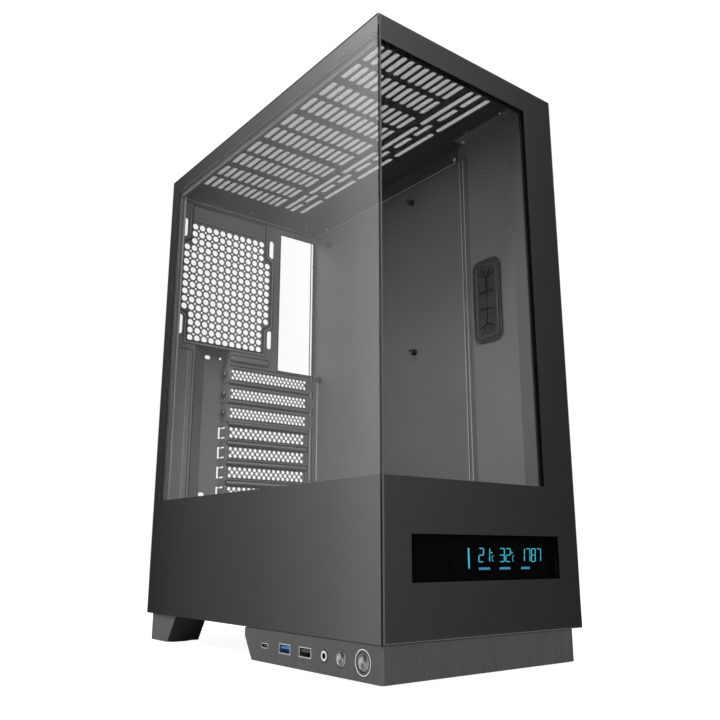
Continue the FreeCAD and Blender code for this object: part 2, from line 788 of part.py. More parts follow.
# Wall in front of the board: a sheet with a lapped rear edge, a folded top and the grommet's hole.

hole_front = grommet_front + grommet_lip
hole_rear = grommet_front + grommet_width - grommet_lip
hole_bottom = grommet_bottom + grommet_lip
hole_top = grommet_bottom + grommet_height - grommet_lip
wall_opening = rounded(hole_front, hole_rear, hole_bottom, hole_top, 6.0)
wall_access = rectangle(wall_front + 14, wall_rear - 8, pan_top + flange_up, shroud_top - 9)
wall = plate("x", tray_x, sheet, rectangle(wall_front, wall_rear, pan_top, ceiling),
             [wall_opening, wall_access])
lap = block(tray_x + sheet, tray_x + 2 * sheet, wall_rear - sheet, wall_rear + joint_lap, shroud_top, ceiling)
wall_lid = block(tray_x - 13.3, tray_x, wall_front, wall_rear, ceiling - sheet, ceiling)
wall_roof = block(tray_x, chassis_right, skin, wall_rear, ceiling, ceiling + sheet)
wall_end = block(tray_x + sheet, chassis_right - sheet, wall_front, wall_front + sheet,
                 pan_top + flange_up, ceiling)
save("front_wall", wall.fuse([lap, wall_lid, wall_roof, wall_end]).removeSplitter())

# Rubber grommet: a lip on each face of the wall, and a web slit into flaps.

centre_y = grommet_front + grommet_width / 2
upper_star = grommet_bottom + grommet_height - 17.0
lower_star = grommet_bottom + 17.0
outer_lip = rounded(grommet_front, grommet_front + grommet_width, grommet_bottom,
                    grommet_bottom + grommet_height, 9.0)
inner_lip = rounded(hole_front + 1.0, hole_rear - 1.0, hole_bottom + 1.0, hole_top - 1.0, 5.0)
lip_room = rounded(hole_front + 0.1, hole_rear - 0.1, hole_bottom + 0.1, hole_top - 0.1, 5.9)
near_lip = plate("x", tray_x - grommet_lip_thickness, grommet_lip_thickness, outer_lip, [inner_lip])
neck = plate("x", tray_x - grommet_lip_thickness, sheet + 2 * grommet_lip_thickness, lip_room, [inner_lip])
far_lip = plate("x", tray_x + sheet, grommet_lip_thickness, rounded(
    grommet_front + 1.5, grommet_front + grommet_width - 1.5, grommet_bottom + 1.5,
    grommet_bottom + grommet_height - 1.5, 8.0), [inner_lip])
web = plate("x", tray_x - grommet_web, grommet_web, inner_lip)
slits = [block(tray_x - 5, tray_x + 5, centre_y - slit / 2, centre_y + slit / 2, lower_star, upper_star)]
for z in (lower_star + 13.0, upper_star - 13.0):
    slits.append(block(tray_x - 5, tray_x + 5, centre_y - 7.5, centre_y + 7.5, z - slit / 2, z + slit / 2))
for z, turn in ((upper_star, 0), (lower_star, 180)):
    for angle in (-65, -32, 32, 65):
        ray = block(tray_x - 5, tray_x + 5, centre_y - slit / 2, centre_y + slit / 2, z, z + 9.5)
        ray.rotate(FreeCAD.Vector(tray_x, centre_y, z), X_AXIS, angle + turn)
        slits.append(ray)
save("cable_grommet", near_lip.fuse([neck, far_lip, web]).cut(slits).removeSplitter())

# Front frame: the pressed sheet behind the front glass, with a column on the steel side.

column_outline = [(skin, pan_top), (chassis_right, pan_top), (chassis_right, ceiling), (column_left, ceiling),
                  (column_left, shroud_top), (skin, shroud_top)]
module_hole = rectangle(display_left - display_edge - 1, display_left + display_width + display_edge + 1,
                        display_bottom - display_edge - 1, display_bottom + display_height + display_edge + 1)
front = plate("y", skin, sheet, column_outline, [module_hole])
inner_fold = block(column_left, column_left + sheet, skin + sheet, skin + sheet + column_depth,
                   shroud_top + play, ceiling)
outer_fold = block(chassis_right - sheet, chassis_right, skin + sheet, wall_front + sheet,
                   pan_top + flange_up + play, ceiling)
front = front.fuse([inner_fold, outer_fold])
cuts = [catch_hole("y", x, skin - 1, z, sheet + 2) for x, z in front_catches[1:]]
save("front_frame", front.cut(cuts).removeSplitter())

# Shroud over the power supply and the drives: a lid with a folded side.

shroud_right = tray_x
lid_rear_hole = rear_inner - 21.2
lid_holes = [cut_corners(left, right, lid_rear_hole, lid_rear_hole + 12.0, 5.0)
             for left, right in ((30.0, 60.0), (96.0, tray_x - 24.0))]
for column in range(5):
    lid_holes.append(pointed_slot(54.0 + 18.0 * column, 60.0, 46.0, 6.0))
lid = plate("z", shroud_top - sheet, sheet,
            rectangle(skin + sheet, shroud_right, skin + sheet, rear_inner), lid_holes)
lid_side = block(skin + sheet, skin + 2 * sheet, skin + sheet, rear_inner, pan_top, shroud_top - sheet)
shroud = lid.fuse(lid_side)
cuts = [catch_hole("x", skin - 1, y, z, 2 * sheet + 2) for y, z in side_catches[2:]]
save("psu_shroud", shroud.cut(cuts).removeSplitter())

# Catch clips that hold the two glass panels.

clips = [catch_clip("x", skin + sheet, y, z) for y, z in side_catches[:2]]
clips += [catch_clip("x", skin + 2 * sheet, y, z) for y, z in side_catches[2:]]
clips += [catch_clip("y", x, skin + sheet, z) for x, z in front_catches]
save("catch_clips", clips)

# Drive cage under the shroud, and a plastic caddy in each of its bays.

cage_right = cage_left + cage_length
cage_rear = cage_front + drive_width + 2 * (caddy_wall + play + sheet)
cage_top = pan_top + 4.0 + bay_height * drive_bays
cage_side = [(cage_left, pan_top), (cage_right, pan_top), (cage_right, cage_top), (cage_left, cage_top)]
windows = []
for column in range(2):
    for row in range(drive_bays):
        start = cage_left + 24 + 52 * column
        low = pan_top + 8 + bay_height * row
        windows.append(cut_corners(start, start + 38, low, low + 12, 4.0))
near_side = plate("y", cage_front, sheet, cage_side, windows)
far_side = plate("y", cage_rear - sheet, sheet, cage_side, windows)
cage_lid = block(cage_left, cage_right, cage_front + sheet, cage_rear - sheet, cage_top - sheet, cage_top)
cage_floor = block(cage_left, cage_right, cage_front + sheet, cage_rear - sheet, pan_top, pan_top + sheet)
cage = near_side.fuse([far_side, cage_lid, cage_floor])
ledge = 3.0
for row in range(1, drive_bays):
    level = pan_top + sheet + bay_height * row
    cage = cage.fuse([block(cage_left, cage_right, cage_front + sheet, cage_front + sheet + ledge,
                            level, level + sheet),
                      block(cage_left, cage_right, cage_rear - sheet - ledge, cage_rear - sheet,
                            level, level + sheet)])
save("drive_cage", cage.removeSplitter())

for row in range(drive_bays):
    level = pan_top + sheet + (bay_height + sheet) * row
    front_y = cage_front + sheet + play
    rear_y = cage_rear - sheet - play
    outer = block(cage_left + 1, cage_right, front_y, rear_y, level, level + caddy_height)
    hollow = block(cage_left, cage_right - 6, front_y + caddy_wall, rear_y - caddy_wall,
                   level + caddy_wall, level + caddy_height + 1)
    grip = block(cage_right - 4, cage_right + 1, front_y + 25, rear_y - 25, level + 2, level + caddy_height + 1)
    caddy = outer.cut([hollow, grip])
    save("drive_caddy_%d" % (row + 1), caddy)

# Plinth: a moulded housing with thin walls, its top closed by the pan.

def plinth_profile(shrink, bottom):
    """The side outline of the plinth, drawn in by the wall."""
    return [(plinth_front + shrink, bottom), (plinth_end - plinth_end_slant - shrink, bottom),
            (plinth_end - shrink, base_top - plinth_end_drop), (plinth_end - shrink, base_top),
            (plinth_front + shrink, base_top)]


plinth = plate("x", plinth_left, plinth_width, plinth_profile(0, pad_proud))
hollow = plate("x", plinth_left + plinth_wall, plinth_width - 2 * plinth_wall,
               plinth_profile(plinth_wall, pad_proud + plinth_wall))
upright = [edge for edge in plinth.Edges
           if abs(edge.BoundBox.YMax - plinth_front) < 0.01 and edge.BoundBox.ZLength > base_height / 2]
plinth = plinth.makeChamfer(plinth_corner, upright)
pad_places = [(plinth_left + 12, plinth_front + 8), (plinth_right - 12 - pad_width, plinth_front + 8)]
bosses = []
for x, y in boss_places:
    bosses.append(prism("z", x, y, pad_proud + plinth_wall, boss_radius, base_height - plinth_wall, 8))
socket_low = port_z - usb_a_height / 2
board_low = socket_low - board_thickness
for y in (audio_y, usb_blue_y, usb_c_y):
    bosses.append(prism("z", wall_inner + 12, y, pad_proud + plinth_wall, pillar_radius,
                        board_low - pad_proud - plinth_wall, 6))
plinth = plinth.cut(hollow).fuse(bosses)
cuts = [block(x, x + pad_width, y, y + pad_length, 0, pad_proud + pad_recess) for x, y in pad_places]
for y, radius, sides in ((power_y, ring_radius + seat_gap, button_sides),
                         (reset_y, reset_radius + button_gap, button_sides),
                         (led_y, led_radius + seat_gap, 12),
                         (audio_y, audio_radius + seat_gap, button_sides)):
    cuts.append(prism("x", plinth_left - 1, y, port_z, radius, plinth_wall + 2, sides))
for y in (usb_blue_y, usb_black_y):
    half = usb_a_width / 2 + seat_gap
    rise = usb_a_height / 2 + seat_gap
    cuts.append(block(plinth_left - 1, wall_inner + 1, y - half, y + half, port_z - rise, port_z + rise))
cuts.append(plate("x", plinth_left - 1, plinth_wall + 2, rounded(
    usb_c_y - usb_c_width / 2 - seat_gap, usb_c_y + usb_c_width / 2 + seat_gap,
    port_z - usb_c_height / 2 - seat_gap,
    port_z + usb_c_height / 2 + seat_gap, usb_c_height / 2, 4)))
for x, y in boss_places:
    cuts.append(prism("z", x, y, base_top - base_screw_room, base_screw_radius + seat_gap, base_screw_room, 6))
save("plinth", plinth.cut(cuts).removeSplitter())

# Rear feet: two hollow wedges under the pan.

foot_left = foot_inset
foot_front = foot_rear - foot_top_length


def foot_profile(shrink, bottom):
    """The side outline of a rear foot, drawn in by the wall."""
    return [(foot_rear - foot_bottom_length + shrink, bottom), (foot_rear - shrink, bottom),
            (foot_rear - shrink, base_top), (foot_front + shrink, base_top)]


foot = plate("x", foot_left, foot_width, foot_profile(0, pad_proud))
foot_room = plate("x", foot_left + foot_wall, foot_width - 2 * foot_wall,
                  foot_profile(foot_wall, pad_proud + foot_wall))
foot_boss = prism("z", foot_boss_x, foot_boss_y, pad_proud + foot_wall, boss_radius, base_height - foot_wall, 8)
foot_screw_room = prism("z", foot_boss_x, foot_boss_y, base_top - base_screw_room,
                        base_screw_radius + seat_gap, base_screw_room, 6)
foot_pad = block(foot_left + 7, foot_left + 7 + pad_width, foot_rear - 28, foot_rear - 5,
                 0, pad_proud + pad_recess)
foot = foot.cut(foot_room).fuse(foot_boss).cut([foot_pad, foot_screw_room])
foot = foot.removeSplitter()
right_foot = mirrored(foot)
save("rear_foot_left", foot)
save("rear_foot_right", right_foot)

# Screws that hold the plinth and the feet, driven down through the pan.

screws = []
for x, y in base_screw_places:
    head = prism("z", x, y, pan_top, base_screw_head, base_screw_head_height, 8)
    shank = prism("z", x, y, base_top - base_screw_reach, base_screw_radius, base_screw_reach + sheet, 6)
    screws.append(head.fuse(shank))
save("base_screws", screws)

pads = [block(x, x + pad_width, y, y + pad_length, 0, pad_proud + pad_recess) for x, y in pad_places]
pads += [foot_pad, mirrored(foot_pad)]
save("foot_pads", pads)

# Ports: pressed metal shells, each with its plastic tongue, on one board inside the plinth.

def usb_a(name, y):
    """A flat rectangular socket: a metal shell and the tongue inside it."""
    start = plinth_left - 0.2
    half = usb_a_width / 2
    rise = usb_a_height / 2
    outer = rectangle(y - half, y + half, port_z - rise, port_z + rise)
    inner = rectangle(y - half + usb_shell, y + half - usb_shell,
                      port_z - rise + usb_shell, port_z + rise - usb_shell)
    shell = plate("x", start, usb_a_depth, outer, [inner])
    back = block(start + usb_a_depth - 2.0, start + usb_a_depth, y - half + usb_shell, y + half - usb_shell,
                 port_z - rise + usb_shell, port_z + rise - usb_shell)
    tongue = block(start + 1.2, start + usb_a_depth - 2.0, y - half + 1.4, y + half - 1.4,
                   port_z + 0.1, port_z + 2.0)
    save(name + "_shell", shell)
    save(name + "_tongue", back.fuse(tongue).removeSplitter())


usb_a("usb_blue", usb_blue_y)
usb_a("usb_black", usb_black_y)

c_start = plinth_left - 0.2
c_outer = rounded(usb_c_y - usb_c_width / 2, usb_c_y + usb_c_width / 2, port_z - usb_c_height / 2,
                  port_z + usb_c_height / 2, usb_c_height / 2 - 0.05, 4)
c_inner = rounded(usb_c_y - usb_c_width / 2 + usb_shell, usb_c_y + usb_c_width / 2 - usb_shell,
                  port_z - usb_c_height / 2 + usb_shell, port_z + usb_c_height / 2 - usb_shell,
                  usb_c_height / 2 - usb_shell - 0.05, 4)
save("usb_c_shell", plate("x", c_start, 9.0, c_outer, [c_inner]))
c_tongue = block(c_start + 1.0, c_start + 7.5, usb_c_y - 3.2, usb_c_y + 3.2, port_z - 0.4, port_z + 0.4)
c_back = plate("x", c_start + 7.5, 1.5, c_inner)
save("usb_c_tongue", c_tongue.fuse(c_back).removeSplitter())

jack = prism("x", plinth_left - 0.2, audio_y, port_z, audio_radius, plinth_wall + 1.2, button_sides)
jack_body = block(wall_inner + 1, plinth_left + 14.0, audio_y - 5.5, audio_y + 5.5, port_z - 3.3, port_z + 4.5)
jack = jack.fuse(jack_body).cut(rod("x", plinth_left - 1, audio_y, port_z, audio_bore, 13.0))
save("audio_jack", jack.removeSplitter())

save("light_pipe", prism("x", plinth_left, led_y, port_z, led_radius, light_pipe_length, 12))

# Buttons: turned caps with a collar behind the wall and a stem that meets its switch.

def button(name, y, radius, face):
    """A round cap with a dished face, a collar behind the wall and a stem."""
    collar_start = wall_inner + button_gap
    stem_start = collar_start + button_collar
    cap = prism("x", face, y, port_z, radius, collar_start - face, button_sides)
    collar = prism("x", collar_start, y, port_z, radius + button_collar_width, button_collar, button_sides)
    stem = prism("x", stem_start, y, port_z, stem_radius, face + button_length + stem_length - stem_start, 12)
    dish = prism("x", face, y, port_z, radius - button_rim, button_dish, button_sides)
    save(name, cap.fuse([collar, stem]).cut(dish).removeSplitter())


button_face = plinth_left - 0.3
button("power_button", power_y, power_radius, button_face)
button("reset_button", reset_y, reset_radius, button_face)

ring = prism("x", button_face, power_y, port_z, ring_radius, wall_inner - button_face, button_sides)
ring_bore = prism("x", button_face, power_y, port_z, power_radius + button_gap, wall_inner - button_face,
                  button_sides)
save("power_ring", ring.cut(ring_bore))

# Port board: a flat circuit board for the sockets, and a small upright one with two switches.

stem_end = button_face + button_length + 3
switch_face = stem_end + button_travel + play
shelf = block(wall_inner + 1, wall_inner + 24, audio_y - 9, usb_c_y + 8, board_low, socket_low)
save("port_board", shelf)
upright_board = block(switch_face + 3.5, switch_face + 3.5 + board_thickness, power_y - 9, reset_y + 9,
                      pad_proud + plinth_wall, base_top - 1)
save("switch_board", upright_board)
switches = [block(switch_face, switch_face + 3.5, y - 3, y + 3, port_z - 3, port_z + 3)
            for y in (power_y, reset_y)]
save("switches", switches)

# Steel side panel: a folded sheet with a pressed-out field that makes room for cables.

panel_front = skin + play
panel_rear_inner = rear_outer + play
panel_bottom = glass_bottom


def field_outline(level, shrink):
    """The outline of the pressed-out field at one depth."""
    return loop("x", level, cut_corners(bulge_front + shrink, bulge_rear - shrink, bulge_below + shrink,
                                        bulge_above - shrink, 14.0))


bulge_hole = cut_corners(bulge_front, bulge_rear, bulge_below, bulge_above, 14.0)
panel = plate("x", panel_inner, sheet,
              rectangle(panel_front, panel_rear_inner + sheet, panel_bottom, case_height), [bulge_hole])
bulge_face = case_width + bulge_height
outer_outlines = [field_outline(panel_inner, -sheet), field_outline(bulge_face, bulge_slope)]
inner_outlines = [field_outline(panel_inner, 0), field_outline(bulge_face - sheet, bulge_slope)]
outer_skin = Part.makeLoft(outer_outlines, True, True)
inner_skin = Part.makeLoft(inner_outlines, True, True)
skirt = outer_skin.cut(inner_skin)
top_fold = block(case_width - panel_top_fold, case_width, panel_front, panel_rear_inner,
                 case_height - sheet, case_height)
rear_fold = block(case_width - panel_rear_fold, case_width, panel_rear_inner, panel_rear_inner + sheet,
                  panel_bottom, case_height)
panel = panel.fuse([skirt, top_fold, rear_fold])
cuts = [rod("y", thumb_x, panel_rear_inner - 1, z, thumb_shank + thumb_fit, sheet + 2)
        for z in (thumb_low, thumb_high)]
save("steel_side_panel", panel.cut(cuts).removeSplitter())

# Captive thumbscrews of the side panel.

for name, z in (("lower_thumbscrew", thumb_low), ("upper_thumbscrew", thumb_high)):
    head_start = panel_rear_inner + sheet + play
    head = prism("y", thumb_x, head_start, z, thumb_radius, thumb_length, 16)
    shank = rod("y", thumb_x, head_start - thumb_shank_length, z, thumb_shank, thumb_shank_length)
    save(name, head.fuse(shank).removeSplitter())

# Rivets: the domed heads that join the ceiling, the tray and the wall.

rivets = []
for y in (tray_front + 12.0, (tray_front + rear_outer) / 2, rear_outer - 26.0):
    rivets.append(prism("x", tray_x - sheet - rivet_rise, y, flange_bottom + 4.5, rivet_radius, rivet_rise, 8))
rivets.append(prism("z", tray_x - 6.0, wall_rear - 4.0, ceiling - sheet - rivet_rise,
                    rivet_radius, rivet_rise, 8))
for x in (tray_x / 2 + 2.3, tray_x - 14.0, tray_x - 7.0):
    rivets.append(prism("y", x, rear_inner - sheet - rivet_rise, ceiling - 6.0, rivet_radius, rivet_rise, 8))
save("rivets", rivets)
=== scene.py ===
import math

import bmesh
import bpy
import numpy as np
from mathutils import Matrix, Vector
from mathutils.geometry import tessellate_polygon


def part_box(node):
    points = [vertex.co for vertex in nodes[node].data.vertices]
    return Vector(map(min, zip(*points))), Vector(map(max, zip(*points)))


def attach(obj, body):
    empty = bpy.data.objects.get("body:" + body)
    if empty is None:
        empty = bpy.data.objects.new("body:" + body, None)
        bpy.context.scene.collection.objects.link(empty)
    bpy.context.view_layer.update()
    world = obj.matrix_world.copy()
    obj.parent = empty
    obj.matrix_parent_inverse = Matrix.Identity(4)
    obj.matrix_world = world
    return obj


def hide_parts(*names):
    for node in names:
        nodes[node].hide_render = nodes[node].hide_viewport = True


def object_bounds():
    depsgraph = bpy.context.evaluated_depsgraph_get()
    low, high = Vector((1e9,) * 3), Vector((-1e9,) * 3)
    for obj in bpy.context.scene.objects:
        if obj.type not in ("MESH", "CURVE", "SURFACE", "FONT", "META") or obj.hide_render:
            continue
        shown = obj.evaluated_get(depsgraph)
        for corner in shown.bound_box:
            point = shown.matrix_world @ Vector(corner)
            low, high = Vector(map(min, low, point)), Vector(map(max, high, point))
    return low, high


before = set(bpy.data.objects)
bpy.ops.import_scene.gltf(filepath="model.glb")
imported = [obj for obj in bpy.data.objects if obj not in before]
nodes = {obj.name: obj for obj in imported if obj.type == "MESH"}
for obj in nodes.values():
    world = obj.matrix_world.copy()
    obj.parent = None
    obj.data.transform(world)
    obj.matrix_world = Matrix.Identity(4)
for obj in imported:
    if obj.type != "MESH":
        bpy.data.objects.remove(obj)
cad_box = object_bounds()

# Chassis sheet. Folded steel, 0.8 mm thick, under a fine textured black powder
# coat: bottom pan, tray, front wall, front frame, shroud, drive cage and the
# frames glued behind the glass. All sizes below are millimetres from the
# case's front left corner on the floor.

MM = 0.001
case_corner = np.array(cad_box[0])
SHEET = 0.8


class Signal:
    """A socket that takes part in arithmetic; each operator adds one Math node."""

    def __init__(self, network, socket):
        self.network = network
        self.socket = socket

    def __add__(self, other):
        return self.network.math("ADD", self, other)

    def __sub__(self, other):
        return self.network.math("SUBTRACT", self, other)

    def __rsub__(self, other):
        return self.network.math("SUBTRACT", other, self)

    def __mul__(self, other):
        return self.network.math("MULTIPLY", self, other)

    def __truediv__(self, other):
        return self.network.math("DIVIDE", self, other)

    def __gt__(self, other):
        return self.network.math("GREATER_THAN", self, other)

    def __lt__(self, other):
        return self.network.math("LESS_THAN", self, other)

    def __abs__(self):
        return self.network.math("ABSOLUTE", self)

    __radd__ = __add__
    __rmul__ = __mul__


class Network:
    """A tree of shading nodes. node() adds any node: its settings first, then its sockets."""

    def __init__(self, tree):
        self.tree = tree

    def node(self, kind, settings=None, sockets=None, output=0):
        made = self.tree.nodes.new(kind)
        for key, value in (settings or {}).items():
            if key == "stops":
                ramp = made.color_ramp.elements
                while len(ramp) < len(value):
                    ramp.new(1.0)
                for stop, (position, tone) in zip(ramp, value):
                    stop.position = position
                    stop.color = (tone, tone, tone, 1.0)
            else:
                setattr(made, key, value)
        for key, value in (sockets or {}).items():
            self.feed(made.inputs[key], value)
        return Signal(self, made.outputs[output])

    def feed(self, socket, value):
        if isinstance(value, Signal):
            self.tree.links.new(value.socket, socket)
        else:
            socket.default_value = value

    def math(self, operation, *values):
        return self.node("ShaderNodeMath", {"operation": operation}, dict(enumerate(values)))

    def mix(self, share, first, second):
        """One shader where the share is 0 and the other where it is 1."""
        return self.node("ShaderNodeMixShader", sockets={0: share, 1: first, 2: second})


class Finish(Network):
    """One material, with the patterns that its colour and its bump are made of."""

    def __init__(self, name, **sockets):
        self.material = bpy.data.materials.new(name)
        self.material.use_nodes = True
        super().__init__(self.material.node_tree)
        self.shader = self.tree.nodes["Principled BSDF"]
        self.end = self.tree.nodes["Material Output"]
        self.set(**sockets)

    def coat(self):
        """The material's own surface, as a part of a mix."""
        return Signal(self, self.shader.outputs[0])

    def set(self, **sockets):
        for key, value in sockets.items():
            self.feed(self.shader.inputs[key.replace("_", " ")], value)
        return self

    def point(self):
        """Where a surface point lies, in metres, in the case's own frame."""
        return self.node("ShaderNodeTexCoord", output="Object")

    def axes(self):
        """The point's x, y and z as three signals, in millimetres from the case corner."""
        split = self.node("ShaderNodeSeparateXYZ", sockets={0: self.point()})
        outs = split.socket.node.outputs
        return [(Signal(self, outs[axis]) - float(case_corner[axis])) / MM for axis in range(3)]

    def noise(self, size, detail=2.0, stretch=(1.0, 1.0, 1.0)):
        """Soft noise whose grains are about size millimetres, drawn out along an axis by stretch."""
        place = self.node("ShaderNodeMapping", sockets={
            "Vector": self.point(), "Scale": tuple(1.0 / value for value in stretch)})
        return self.node("ShaderNodeTexNoise", sockets={
            "Vector": place, "Scale": 1.0 / (size * MM), "Detail": detail})

    def blend(self, share, first, second):
        """A colour between two, by a share from 0 to 1."""
        return self.node("ShaderNodeMix", {"data_type": "RGBA"},
                         {0: share, 6: (*first, 1.0), 7: (*second, 1.0)}, output=2)

    def bump(self, height, depth, strength=1.0):
        """A normal from a height of 0 to 1 that stands depth millimetres tall."""
        return self.node("ShaderNodeBump", sockets={
            "Height": height, "Distance": depth * MM, "Strength": strength})


def grey(tone):
    """A colour with no hue."""
    return (tone, tone, tone)


def powder_coat(name, dark, light, grain=0.9, depth=0.05):
    """Textured powder coat: pebbled bump, a fine speckle and slow changes of tone."""
    finish = Finish(name, Metallic=0.0)
    pebble = finish.noise(grain, 3.0)
    speckle = finish.noise(0.7, 1.0)
    cloud = finish.noise(70.0, 2.0)
    tone = pebble * 0.8 + speckle * 0.5 + cloud * 0.5 - 0.4
    finish.set(Base_Color=finish.blend(tone, dark, light), Roughness=0.42 + pebble * 0.25,
               Normal=finish.bump(pebble + speckle * 0.4, depth, 0.35))
    return finish.material


def dress(names, material):
    """Puts one material on CAD nodes that keep their own shape."""
    for name in names:
        mesh = nodes[name].data
        mesh.materials.clear()
        mesh.materials.append(material)


chassis_coat = powder_coat("chassis_powder_coat", (0.030, 0.030, 0.031), (0.075, 0.075, 0.077))
dress(["bottom_pan", "psu_shroud", "drive_cage"], chassis_coat)
dress(["front_frame"], powder_coat("front_frame_coat", grey(0.022), grey(0.056)))
# Painted highlight: where the glued frame shows above and behind the printed border, its coat turns light
# grey. This stands for the bright line along the glass edge. Elsewhere the frame is near-black.
HIGHLIGHT_TOP = 441.6
HIGHLIGHT_REAR = 333.4
frame_finish = Finish("glued_frame_coat", Roughness=0.5)
_, frame_y, frame_z = frame_finish.axes()
painted_highlight_rim = ((frame_z > HIGHLIGHT_TOP) + (frame_y > HIGHLIGHT_REAR)) > 0.5
frame_grain = frame_finish.noise(0.9, 3.0)
frame_tone = painted_highlight_rim * 0.8 + frame_grain * 0.2
frame_finish.set(Base_Color=frame_finish.blend(frame_tone, grey(0.015), grey(0.48)),
                 Normal=frame_finish.bump(frame_grain, 0.05, 0.35))
dress(["side_glass_frame"], frame_finish.material)
dark_frame = powder_coat("dark_frame_coat", grey(0.004), grey(0.010))
dark_frame.node_tree.nodes["Principled BSDF"].inputs["Specular IOR Level"].default_value = 0.05
dress(["front_glass_frame"], dark_frame)

# Rear panel. One pressed steel sheet with a stepped field of round fan holes
# and a small hole between every four, the port cut-out, a pocket pressed
# rearward for the slot screws, and four break-off slot covers.


def placed(points):
    """Millimetres from the case corner to the frame's metres."""
    return np.asarray(points, float) * MM + case_corner


def add_mesh(name, vertices, faces, body, slot_name, material, smooth=False):
    """A mesh object at the origin that rides a body, its faces turned outwards."""
    mesh = bpy.data.meshes.new(name)
    mesh.from_pydata(vertices.tolist(), [], faces)
    shape = bmesh.new()
    shape.from_mesh(mesh)
    bmesh.ops.recalc_face_normals(shape, faces=shape.faces)
    shape.to_mesh(mesh)
    shape.free()
    mesh.materials.append(material)
    mesh.polygons.foreach_set("use_smooth", [smooth] * len(mesh.polygons))
    piece = bpy.data.objects.new(name, mesh)
    bpy.context.scene.collection.objects.link(piece)
    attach(piece, body)
    return piece


def pierced(normal, low, high, outline, holes=()):
    """A flat sheet between two levels: the outline and each hole are closed runs of (u, v)
    points, joined across the sheet by walls, and both faces are filled between the runs."""
    axis = "xyz".index(normal)
    runs = [np.asarray(run, float) for run in (outline, *holes)]
    flat = np.concatenate(runs)
    count = len(flat)
    space = np.empty((2, count, 3))
    space[:, :, [index for index in range(3) if index != axis]] = flat
    space[0, :, axis] = low
    space[1, :, axis] = high
    fill = tessellate_polygon([[(u, v, 0.0) for u, v in run] for run in runs])
    bottom = np.array(fill)
    faces = bottom.tolist() + (bottom[:, ::-1] + count).tolist()
    start = 0
    for run in runs:
        this = start + np.arange(len(run))
        following = np.roll(this, -1)
        faces += np.stack([this, following, following + count, this + count], axis=1).tolist()
        start += len(run)
    return space.reshape(-1, 3), faces


def joined(parts):
    """Several meshes as one, their face numbers shifted along."""
    vertices, faces, start = [], [], 0
    for points, sides in parts:
        vertices.append(points)
        faces += [[index + start for index in side] for side in sides]
        start += len(points)
    return placed(np.concatenate(vertices)), faces


def rectangle(u0, u1, v0, v1):
    """The four corners of a rectangle."""
    return np.array([(u0, v0), (u1, v0), (u1, v1), (u0, v1)], float)


def rings(centres, radius, sides=20):
    """A circle of points round each centre."""
    turn = 2 * math.pi * np.arange(sides) / sides
    ring = radius * np.stack([np.cos(turn), np.sin(turn)], axis=1)
    return list(np.asarray(centres, float)[:, None, :] + ring[None])


def obrounds(centres, length, width, along_v=True, steps=6):
    """A slot with half-round ends round each centre: two arcs set apart by the straight run."""
    turn = np.linspace(0, math.pi, steps + 1)
    arc = width / 2 * np.stack([np.cos(turn), np.sin(turn)], axis=1)
    shift = np.array([0.0, (length - width) / 2])
    ring = np.concatenate([arc + shift, -arc - shift])
    if not along_v:
        ring = ring[:, ::-1]
    return list(np.asarray(centres, float)[:, None, :] + ring[None])


def grid(u_values, v_values):
    """Every pair of two runs of values."""
    return np.stack(np.meshgrid(u_values, v_values, indexing="ij"), axis=-1).reshape(-1, 2)


def rounded(u0, u1, v0, v1, radius, steps=5):
    """A rectangle with arcs at its corners."""
    turn = np.linspace(0, math.pi / 2, steps + 1)
    corners = [(u1 - radius, v0 + radius, -90), (u1 - radius, v1 - radius, 0),
               (u0 + radius, v1 - radius, 90), (u0 + radius, v0 + radius, 180)]
    parts = []
    for u, v, start in corners:
        angle = turn + math.radians(start)
        parts.append(np.stack([u + radius * np.cos(angle), v + radius * np.sin(angle)], axis=1))
    return np.concatenate(parts)


REAR = 337.2
REAR_OUT = REAR + SHEET
SKIN = 6.3
RIGHT = 188.9
PAN_TOP = 23.8
CEILING = 451.2
FAN = np.array([67.4, 355.4])
VENT_PITCH = 8.1
VENT_RADIUS = 3.2
VENT_DOT_RADIUS = 1.35
VENT_STEP = 1.6
FAN_HOLES = np.array([-52.5, 52.5])
THUMB_X = 184.6
THUMB_HEIGHTS = (74.0, 404.0)
SLOT_PITCH = 20.32
SCREWED_SLOTS = 3
FIRST_SLOT = 258.0
LEDGE = 72.5
SLOT_END = 172.0
POCKET_LEFT = 34.0
POCKET_SLOPE = 15.4
POCKET_DEEP = 12.0
POCKET_TOP = FIRST_SLOT + 24.0
POCKET_BOTTOM = FIRST_SLOT - 132.0
EAR_SCREW = REAR_OUT + 6.0
RIB_DROP = 0.6
slot_heights = FIRST_SLOT - SLOT_PITCH * np.arange(7)
screwed = slot_heights[:SCREWED_SLOTS]
break_off = slot_heights[SCREWED_SLOTS:]
rib_heights = break_off + SLOT_PITCH / 2 - RIB_DROP


def stepped_field(grow):
    """The fan grille's outline: a rectangle with a wider middle and bevelled steps."""
    narrow = VENT_PITCH * 5.5 + 0.6 + grow
    wide = narrow + VENT_PITCH
    top = VENT_PITCH * 7.5 + 20.0 + grow
    bottom = -VENT_PITCH * 8.5 - grow
    step = VENT_PITCH * 4.5 + grow
    right = np.array([(narrow, top), (narrow, step + 5), (wide, step), (wide, -step), (narrow, -step - 5),
                      (narrow, bottom)])
    left = right[::-1] * (-1, 1)
    return np.concatenate([right, left]) + FAN


def slot_mesh(height, rows, columns, first, last, rise, radius):
    """Staggered rows of round holes across one slot cover."""
    step = (last - first) / (columns - 1)
    centres = []
    for row in range(rows):
        shift = row % 2
        across = first + step * (np.arange(columns - shift) + 0.5 * shift)
        level = height + rise * (row - (rows - 1) / 2)
        centres.append(np.stack([across, np.full(len(across), level)], axis=1))
    return rings(np.concatenate(centres), radius, 12)


